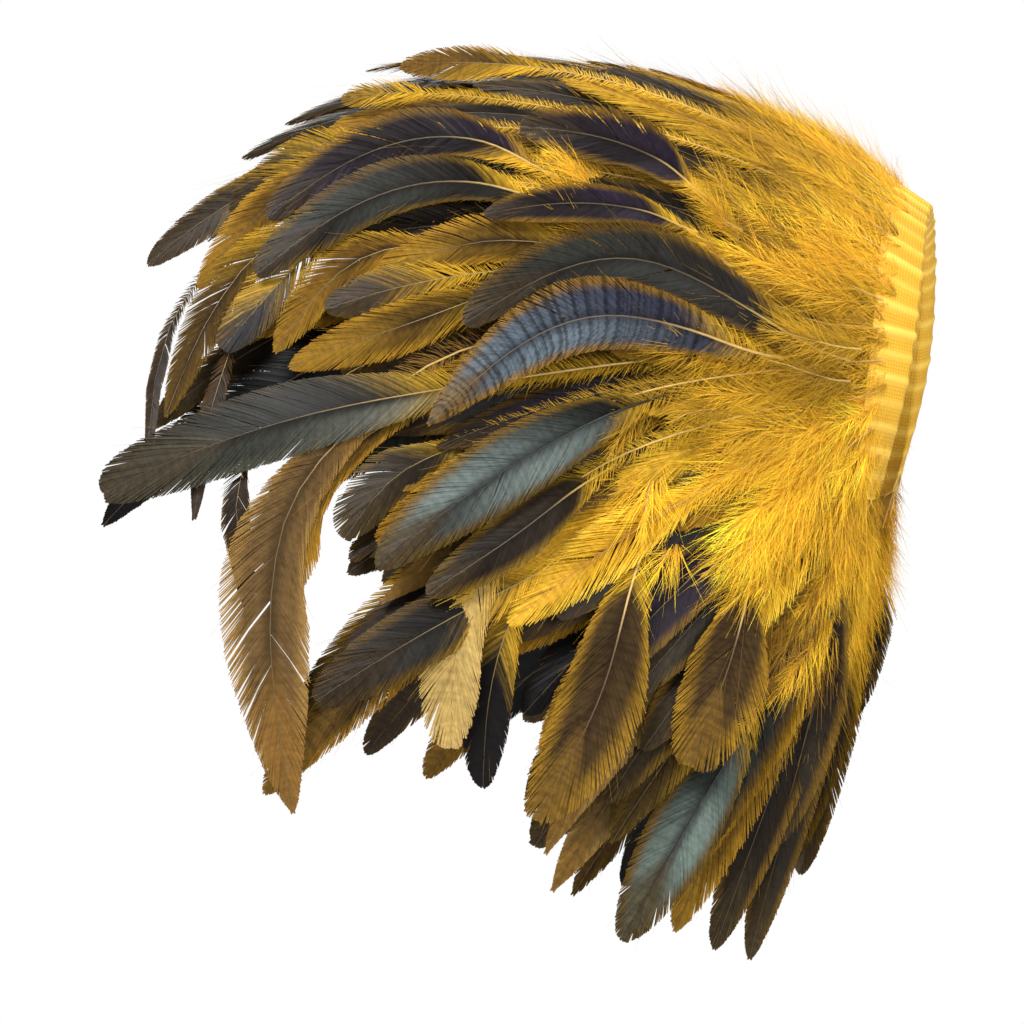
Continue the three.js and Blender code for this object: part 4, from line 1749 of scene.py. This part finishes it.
@dataclass
class DownCollar:
    """The short down beside the tape and at the cloth's ends, in tufts that lie over the quills.

    Each band has a distance from the fold, a length and a count of tufts. Of every five tufts in a band,
    some are brown, and more of them near the front end.
    """

    node: str = "down_row"
    slot: str = "down"
    bands: tuple[tuple[float, float, int], ...] = ((9.5, 26.0, 76), (21.0, 32.0, 76), (35.0, 40.0, 64))
    lifts: tuple[float, ...] = (5.0, 5.0, 3.0)
    brown: tuple[tuple[int, ...], ...] = ((), (2,), (0, 2))
    brown_low: tuple[tuple[int, ...], ...] = ((), (2,), (0, 1, 2, 3))
    low_end: float = -0.83
    bright_from: float = 1.15
    width: float = 15.0
    stations: int = 8
    barb_pitch: float = 0.31
    all_downy: float = 1.2
    ribbon: float = 0.17
    quill_root: float = 0.13
    quill_tip: float = 0.05
    last_turn: float = 1.03
    reaches: Pair = (0.75, 1.2)
    widths: Pair = (0.8, 1.2)
    slant_from: float = 9.0
    stagger: Pair = (-4.5, 3.5)
    stray_root: float = 0.012
    stray_tip: float = 0.02
    root_lift: float = 1.5
    uneven_lift: Pair = (-0.5, 1.5)
    band_salt: int = 20000
    end_salt: int = 26000
    end_tufts: int = 12
    end_length: float = 30.0
    end_turns: Pair = (0.96, 1.01)
    end_from: Pair = (8.0, 30.0)
    end_reach: Pair = (26.0, 38.0)
    end_lift: Pair = (-3.5, 5.0)
    end_rise: float = 2.0
    end_lean: Pair = (0.3, 1.5)

    def end_fringe(self) -> list[Plume]:
        """Lays tufts round both cut ends of the cloth, below the tape.

        Returns:
            The tufts, by turns at the back and at the front.
        """
        made = []
        share = np.linspace(0.0, 1.0, self.stations)
        barbs = int(self.end_length / self.barb_pitch)
        for i in range(2 * self.end_tufts):
            rng = np.random.default_rng(SEED * 89 + i)
            end = -1.0 if i % 2 else 1.0
            turn = np.full(self.stations, end * rng.uniform(*self.end_turns))
            distance = rng.uniform(*self.end_from) + rng.uniform(*self.end_reach) * share
            path, normal = FLOW.place(turn, distance, rng.uniform(*self.end_lift) + self.end_rise * share)
            normal = unit(normal - rng.uniform(*self.end_lean) * OUT)
            salt = self.end_salt + i
            made.append(Plume(Kind.DOWN, path, normal, self.width, salt, barbs, self.all_downy))
        return made

    def tuft(self, band: int, i: int, turn: float) -> Plume:
        """Lays one tuft of a band.

        Args:
            band: The band's number.
            i: The tuft's place in it.
            turn: Its place along the arch.

        Returns:
            The tuft.
        """
        start, length, _ = self.bands[band]
        share = np.linspace(0.0, 1.0, self.stations)
        rng = np.random.default_rng(SEED * 97 + 500 * band + i)
        reach = length * rng.uniform(*self.reaches)
        begin = start + self.slant_from * float(FLOW.slant(turn) - 1.0) + rng.uniform(*self.stagger)
        distance = begin + reach * share
        middle = turn + rng.normal(0.0, self.stray_root) + rng.normal(0.0, self.stray_tip) * share
        middle = np.clip(middle, -self.last_turn, self.last_turn)
        lift = rng.uniform(*self.uneven_lift) + rng.uniform(0.0, self.lifts[band]) * share**1.5
        height = FLOW.layer_height(middle, distance, TAPE_LAYER) + self.root_lift + lift
        path, normal = FLOW.place(middle, distance, height)
        salt = self.band_salt + 500 * band + i
        barbs = int(reach / self.barb_pitch)
        wide = self.width * rng.uniform(*self.widths)
        # How bright the down is here, partly its own colour, partly painted light; brown tufts only where
        # it is not brightened much.
        down_dye_and_painted_light = FLOW.down_dye_and_painted_light(turn)
        brown = self.brown_low if turn < self.low_end else self.brown
        dull = (i + band) % 5 in brown[band] and down_dye_and_painted_light < self.bright_from
        kind = Kind.FLUFF if dull else Kind.DOWN
        return Plume(kind, path, normal, wide, salt, barbs, self.all_downy, down_dye_and_painted_light=down_dye_and_painted_light)

    def plumage(self) -> Plumage:
        """Lays all tufts, band by band from the tape outwards.

        Returns:
            The tufts as one set.
        """
        made = Plumage(
            "down_collar", self.slot, (self.node,),
            quill_root=self.quill_root, quill_tip=self.quill_tip, down_ribbon=self.ribbon,
        )
        for band, (start, length, count) in enumerate(self.bands):
            turns = FLOW.even_turns(1.0, count, start + length / 2)
            made.plumes.extend(self.tuft(band, i, turn) for i, turn in enumerate(turns))
        made.plumes.extend(self.end_fringe())
        return made


def loft_mesh(
    name: str, rings: Array, weave: Array, material: Material
) -> bpy.types.Mesh:
    """Makes a closed mesh through rings of points, with a face over each end.

    Args:
        name: The mesh's name.
        rings: Points, ring by ring, in millimetres.
        weave: A place on the cloth in millimetres for each of them.
        material: The cloth's finish.

    Returns:
        The mesh, facing outwards, with the places on the cloth as its map.
    """
    count, size = rings.shape[:2]
    index = np.arange(count * size).reshape(count, size)
    after = np.roll(index, -1, axis=1)
    faces = np.stack([index[:-1], after[:-1], after[1:], index[1:]], -1).reshape(-1, 4).tolist()
    faces += [index[0][::-1].tolist(), index[-1].tolist()]
    mesh = bpy.data.meshes.new(name)
    mesh.from_pydata((rings.reshape(-1, 3) * MM).tolist(), [], faces)
    layer = mesh.uv_layers.new(name="Weave")
    corners = np.empty(len(mesh.loops), np.int64)
    mesh.loops.foreach_get("vertex_index", corners)
    layer.data.foreach_set("uv", weave.reshape(-1, 2)[corners].astype(np.float32).ravel())
    mesh.shade_smooth()
    mesh.update()
    made = bmesh.new()
    made.from_mesh(mesh)
    bmesh.ops.recalc_face_normals(made, faces=made.faces)
    made.to_mesh(mesh)
    made.free()
    mesh.materials.append(material)
    return mesh


@dataclass
class ClothParts:
    """The cloth crescent, the tape along its neck edge and the threads, in millimetres."""

    wall: float = 1.5
    sections: int = 120
    stations: int = 10
    base_weave: float = 150.0
    tape_wall: float = 1.1
    tape_width: float = 14.0
    tape_clear: float = 0.45
    tape_weave: float = 120.0
    tape_stations: tuple[float, ...] = (0.0, 0.35, 0.7, 1.0)
    fold_steps: int = 9
    fold_depth: float = 1.8
    ribs: int = 34
    rib_steps: int = 10
    rib_height: float = 0.95
    rib_least: float = 0.55
    rib_spread: float = 0.9
    # Painted highlight: how pale the crests of the ribs are painted.
    painted_highlight_strength: float = 0.75
    row_half: float = 1.05
    seam_points: int = 161
    seam_turn: float = 0.985
    seam_inset: float = 1.8
    row_insets: Pair = (1.5, 5.0)
    thread_over: float = 0.25
    thread_under: float = 0.1
    stitch_pitch: float = 3.2
    stitch_length: float = 1.15
    stitch_girth: float = 0.28

    def build_base(self, material: Material) -> bpy.types.Object:
        """Makes the cloth crescent as a thin closed wall.

        Args:
            material: The cloth's finish.

        Returns:
            The piece.
        """
        turns = np.linspace(-1.0, 1.0, self.sections + 1)
        across = np.linspace(0.0, 1.0, self.stations)
        turn, share = np.meshgrid(turns, np.concatenate([across, across[::-1]]), indexing="ij")
        height = np.where(np.arange(2 * self.stations) < self.stations, 0.5, -0.5) * self.wall
        distance = share * FLOW.cap_width(turn)
        points, _ = FLOW.place(turn, distance, np.broadcast_to(height, turn.shape))
        weave = np.stack([turn * self.base_weave, distance], -1)
        mesh = loft_mesh("base_sheet", points, weave, material)
        return new_piece("base_sheet", mesh, "base_cloth", ("base_cloth",))

    def tape_section(self, turn: Array, rib: Array) -> tuple[Array, Array]:
        """Gives the rings of the folded tape.

        Args:
            turn: Places along the arch.
            rib: How far the tape stands up there, over a quill.

        Returns:
            Distances and heights of each ring's points.
        """
        over = FLOW.layer_height(turn, np.full_like(turn, 0.0), TAPE_LAYER)
        outer = FLOW.layer_height(*FLOW.square_off(turn, np.full_like(turn, self.tape_width)), TAPE_LAYER)
        top = [mix(over, outer, s) + self.row_half + self.tape_clear for s in self.tape_stations]
        under = np.full_like(turn, -self.wall / 2 - self.tape_clear)
        wall, fold, edge = self.tape_wall, -self.tape_clear, self.tape_width
        ring = [
            (edge, top[3] + wall * 0.55),
            (edge * 0.985, top[3] + wall * 0.95),
            (edge * self.tape_stations[2], top[2] + wall + rib),
            (edge * self.tape_stations[1], top[1] + wall + rib),
        ]
        for angle in np.linspace(0.0, math.pi, self.fold_steps):
            high = 0.5 + 0.5 * math.cos(angle)
            height = mix(under - wall, top[0] + wall, high) + rib * high
            ring.append((fold - wall * self.fold_depth * math.sin(angle), height))
        ring += [
            (edge * 0.5, under - wall),
            (edge, under - wall * 0.95),
            (edge, under),
            (edge * 0.5, under),
            (fold, under),
            (fold, top[0]),
            (edge * 0.5, mix(top[1], top[2], 0.43)),
            (edge, top[3]),
        ]
        distance = np.stack([np.broadcast_to(s, turn.shape) for s, _ in ring], -1)
        return distance, np.stack([h for _, h in ring], -1)

    def build_tape(self, material: Material) -> bpy.types.Object:
        """Makes the folded tape, ribbed by the quills under it.

        Args:
            material: The tape's finish.

        Returns:
            The piece, with a painted highlight on the crests of its ribs stored on it.
        """
        steps = self.ribs * self.rib_steps
        turn = np.linspace(-1.0, 1.0, steps + 1)
        phase = np.arange(steps + 1) / self.rib_steps
        number = np.floor(phase + 0.5).astype(int)
        height = self.rib_least + self.rib_spread * (uneven(number, 4) + 0.5)
        rib = self.rib_height * height * (0.5 + 0.5 * np.cos(2 * np.pi * phase)) ** 3
        away, over = self.tape_section(turn, rib)
        along, distance = FLOW.square_off(np.broadcast_to(turn[:, None], away.shape), away)
        points, _ = FLOW.place(along, distance, over)
        steps_round = np.linalg.norm(np.diff(points, axis=1), axis=2)
        round_it = np.concatenate([np.zeros((steps + 1, 1)), np.cumsum(steps_round, axis=1)], 1)
        lengthwise = np.broadcast_to(turn[:, None] * self.tape_weave, round_it.shape)
        mesh = loft_mesh("neck_tape", points, np.stack([lengthwise, round_it], -1), material)
        # Painted highlight on the crests of the ribs.
        painted_ridge_highlight = np.broadcast_to((rib / self.rib_height)[:, None], distance.shape) * self.painted_highlight_strength
        write_attribute(mesh, "painted_ridge_highlight", "FLOAT", np.clip(painted_ridge_highlight, 0.0, 1.0).astype(np.float32))
        return new_piece("neck_tape", mesh, "edge_tape", ("edge_tape",))

    def build_stitches(self, tree: GrowTree, material: Material) -> list[bpy.types.Object]:
        """Sews the tape's edge, and the rows through the cloth.

        Args:
            tree: The tree that lays threads along lines.
            material: The thread's finish.

        Returns:
            The tape's threads and the rows' threads.
        """
        turns = np.linspace(-self.seam_turn, self.seam_turn, self.seam_points)
        along, edge = FLOW.square_off(turns, np.full_like(turns, self.tape_width - self.seam_inset))
        top = FLOW.layer_height(along, edge, TAPE_LAYER) + self.row_half + self.tape_clear
        top = top + self.tape_wall + self.thread_over
        under = np.full_like(turns, -self.wall / 2 - self.tape_clear - self.tape_wall - self.thread_under)
        tape_seams = [FLOW.place(along, edge, height)[0] for height in (top, under)]
        row_seams = []
        for row in ROWS[:3]:
            inner = np.linspace(-row.span, row.span, self.seam_points)
            for inset in self.row_insets:
                sewn = row.share * FLOW.cap_width(inner) + inset
                row_seams.append(FLOW.place(inner, sewn, -self.wall / 2 - self.thread_under)[0])
        sizes = {"Pitch": self.stitch_pitch, "Length": self.stitch_length, "Girth": self.stitch_girth}
        values = {**{name: size * MM for name, size in sizes.items()}, "Material": material}
        pieces = []
        for name, slot, seams in (
            ("tape_stitches", "edge_tape", tape_seams),
            ("row_stitches", "base_cloth", row_seams),
        ):
            piece = new_piece(name, line_mesh(name, seams), slot)
            tree.run(piece, values)
            piece.data.uv_layers.new(name="Weave")
            pieces.append(piece)
        return pieces


@dataclass(frozen=True)
class Studio:
    """The round pale floor, the soft lights and the camera, in metres."""

    floor: float = -0.52
    radius: float = 1.6
    thickness: float = 0.02
    rim_points: int = 96
    floor_colour: tuple[float, float, float, float] = (0.9, 0.9, 0.9, 1.0)
    floor_roughness: float = 0.9
    floor_specular: float = 0.1
    camera: Triple = (EYE[0] * MM, EYE[1] * MM, EYE[2] * MM)
    target: Triple = (-0.1246, -0.05, -0.092)
    frame_width: float = 0.319
    sensor: float = 36.0
    sight: float = 50.0
    room_light: float = 0.27
    lights_aim: Triple = (-0.12, 0.0, -0.08)
    # Name, place, size and power of each light.
    lights: tuple[tuple[str, Triple, float, float], ...] = (
        ("key", (-0.5, -1.8, 1.3), 0.9, 54.0),
        ("fill", (1.3, -1.8, 0.3), 1.2, 24.0),
        ("top", (-0.1, 0.1, 1.7), 1.0, 16.0),
        ("back", (-0.2, 1.9, 1.0), 1.2, 14.0),
    )

    def build_stage(self) -> None:
        """Makes the round floor."""
        count = self.rim_points
        angles = np.linspace(0.0, 2.0 * math.pi, count + 1)[:-1]
        rim = [(self.radius * math.cos(a), self.radius * math.sin(a)) for a in angles]
        points = [(x, y, self.floor - low) for low in (0.0, self.thickness) for x, y in rim]
        faces = [list(range(count)), list(range(2 * count - 1, count - 1, -1))]
        faces += [(i, count + i, count + (i + 1) % count, (i + 1) % count) for i in range(count)]
        mesh = bpy.data.meshes.new("pale_floor")
        mesh.from_pydata(points, [], faces)
        mesh.update()
        shader = Shader("pale_floor", self.floor_roughness)
        shader.set(Base_Color=self.floor_colour, Specular_IOR_Level=self.floor_specular)
        mesh.materials.append(shader.material)
        stage = bpy.data.objects.new("pale_floor", mesh)
        bpy.context.scene.collection.objects.link(stage)

    @staticmethod
    def aim(
        name: str, data: bpy.types.ID, place: Triple, target: Triple
    ) -> bpy.types.Object:
        """Puts a camera or a light at a place and turns it to a target.

        Args:
            name: The object's name.
            data: The camera or the light.
            place: Where it stands.
            target: What it points at.

        Returns:
            The object.
        """
        made = bpy.data.objects.new(name, data)
        bpy.context.scene.collection.objects.link(made)
        made.location = place
        made.rotation_mode = "QUATERNION"
        made.rotation_quaternion = (Vector(target) - Vector(place)).to_track_quat("-Z", "Y")
        return made

    def build_camera(self) -> None:
        """Puts the camera where the piece is seen from, with a lens that frames it."""
        data = bpy.data.cameras.new("camera")
        data.sensor_width = self.sensor
        away = (Vector(self.target) - Vector(self.camera)).length
        data.lens = self.sensor / 2 / (self.frame_width / 2 / away)
        data.clip_end = self.sight
        bpy.context.scene.camera = self.aim("camera", data, self.camera, self.target)

    def build_lights(self) -> None:
        """Hangs the soft lights and lights the room evenly, with a white wall behind all."""
        world = bpy.data.worlds.new("soft_room")
        world.use_nodes = True
        nodes, links = world.node_tree.nodes, world.node_tree.links
        room, wall = nodes["Background"], nodes.new("ShaderNodeBackground")
        room.inputs[1].default_value = self.room_light
        either = nodes.new("ShaderNodeMixShader")
        links.new(nodes.new("ShaderNodeLightPath").outputs["Is Camera Ray"], either.inputs[0])
        for shader, socket in ((room, 1), (wall, 2)):
            shader.inputs[0].default_value = (1.0, 1.0, 1.0, 1.0)
            links.new(shader.outputs[0], either.inputs[socket])
        links.new(either.outputs[0], nodes["World Output"].inputs[0])
        bpy.context.scene.world = world
        bpy.context.scene.view_settings.view_transform = "Standard"
        for name, place, size, power in self.lights:
            data = bpy.data.lights.new(name, "AREA")
            data.shape, data.size, data.energy = "DISK", size, power
            self.aim(name, data, place, self.lights_aim)


def main() -> None:
    """Builds the piece and its studio, and declares each part of it."""
    logging.basicConfig(level=logging.INFO, format="%(message)s")
    studio = Studio()
    studio.build_stage()
    studio.build_camera()
    studio.build_lights()
    soft, glossy, quill = SOFT_VANE.material(), GLOSSY_VANE.material(), QUILL.material()
    barbs, shafts, stitches = barb_tree(), shaft_tree(), stitch_tree()
    cloth = ClothParts()
    base, tape = cloth.build_base(BASE_CLOTH.material()), cloth.build_tape(TAPE_CLOTH.material())
    pieces = [base, tape, *cloth.build_stitches(stitches, THREAD.material())]
    for plumage in [*FeatherCoat().plumages(), DownCollar().plumage()]:
        pieces.append(plumage.build_barbs(barbs, soft, glossy))
        pieces.append(plumage.build_shafts(shafts, quill))
    for piece in pieces:
        declare(piece)


if __name__ == "__main__":
    main()
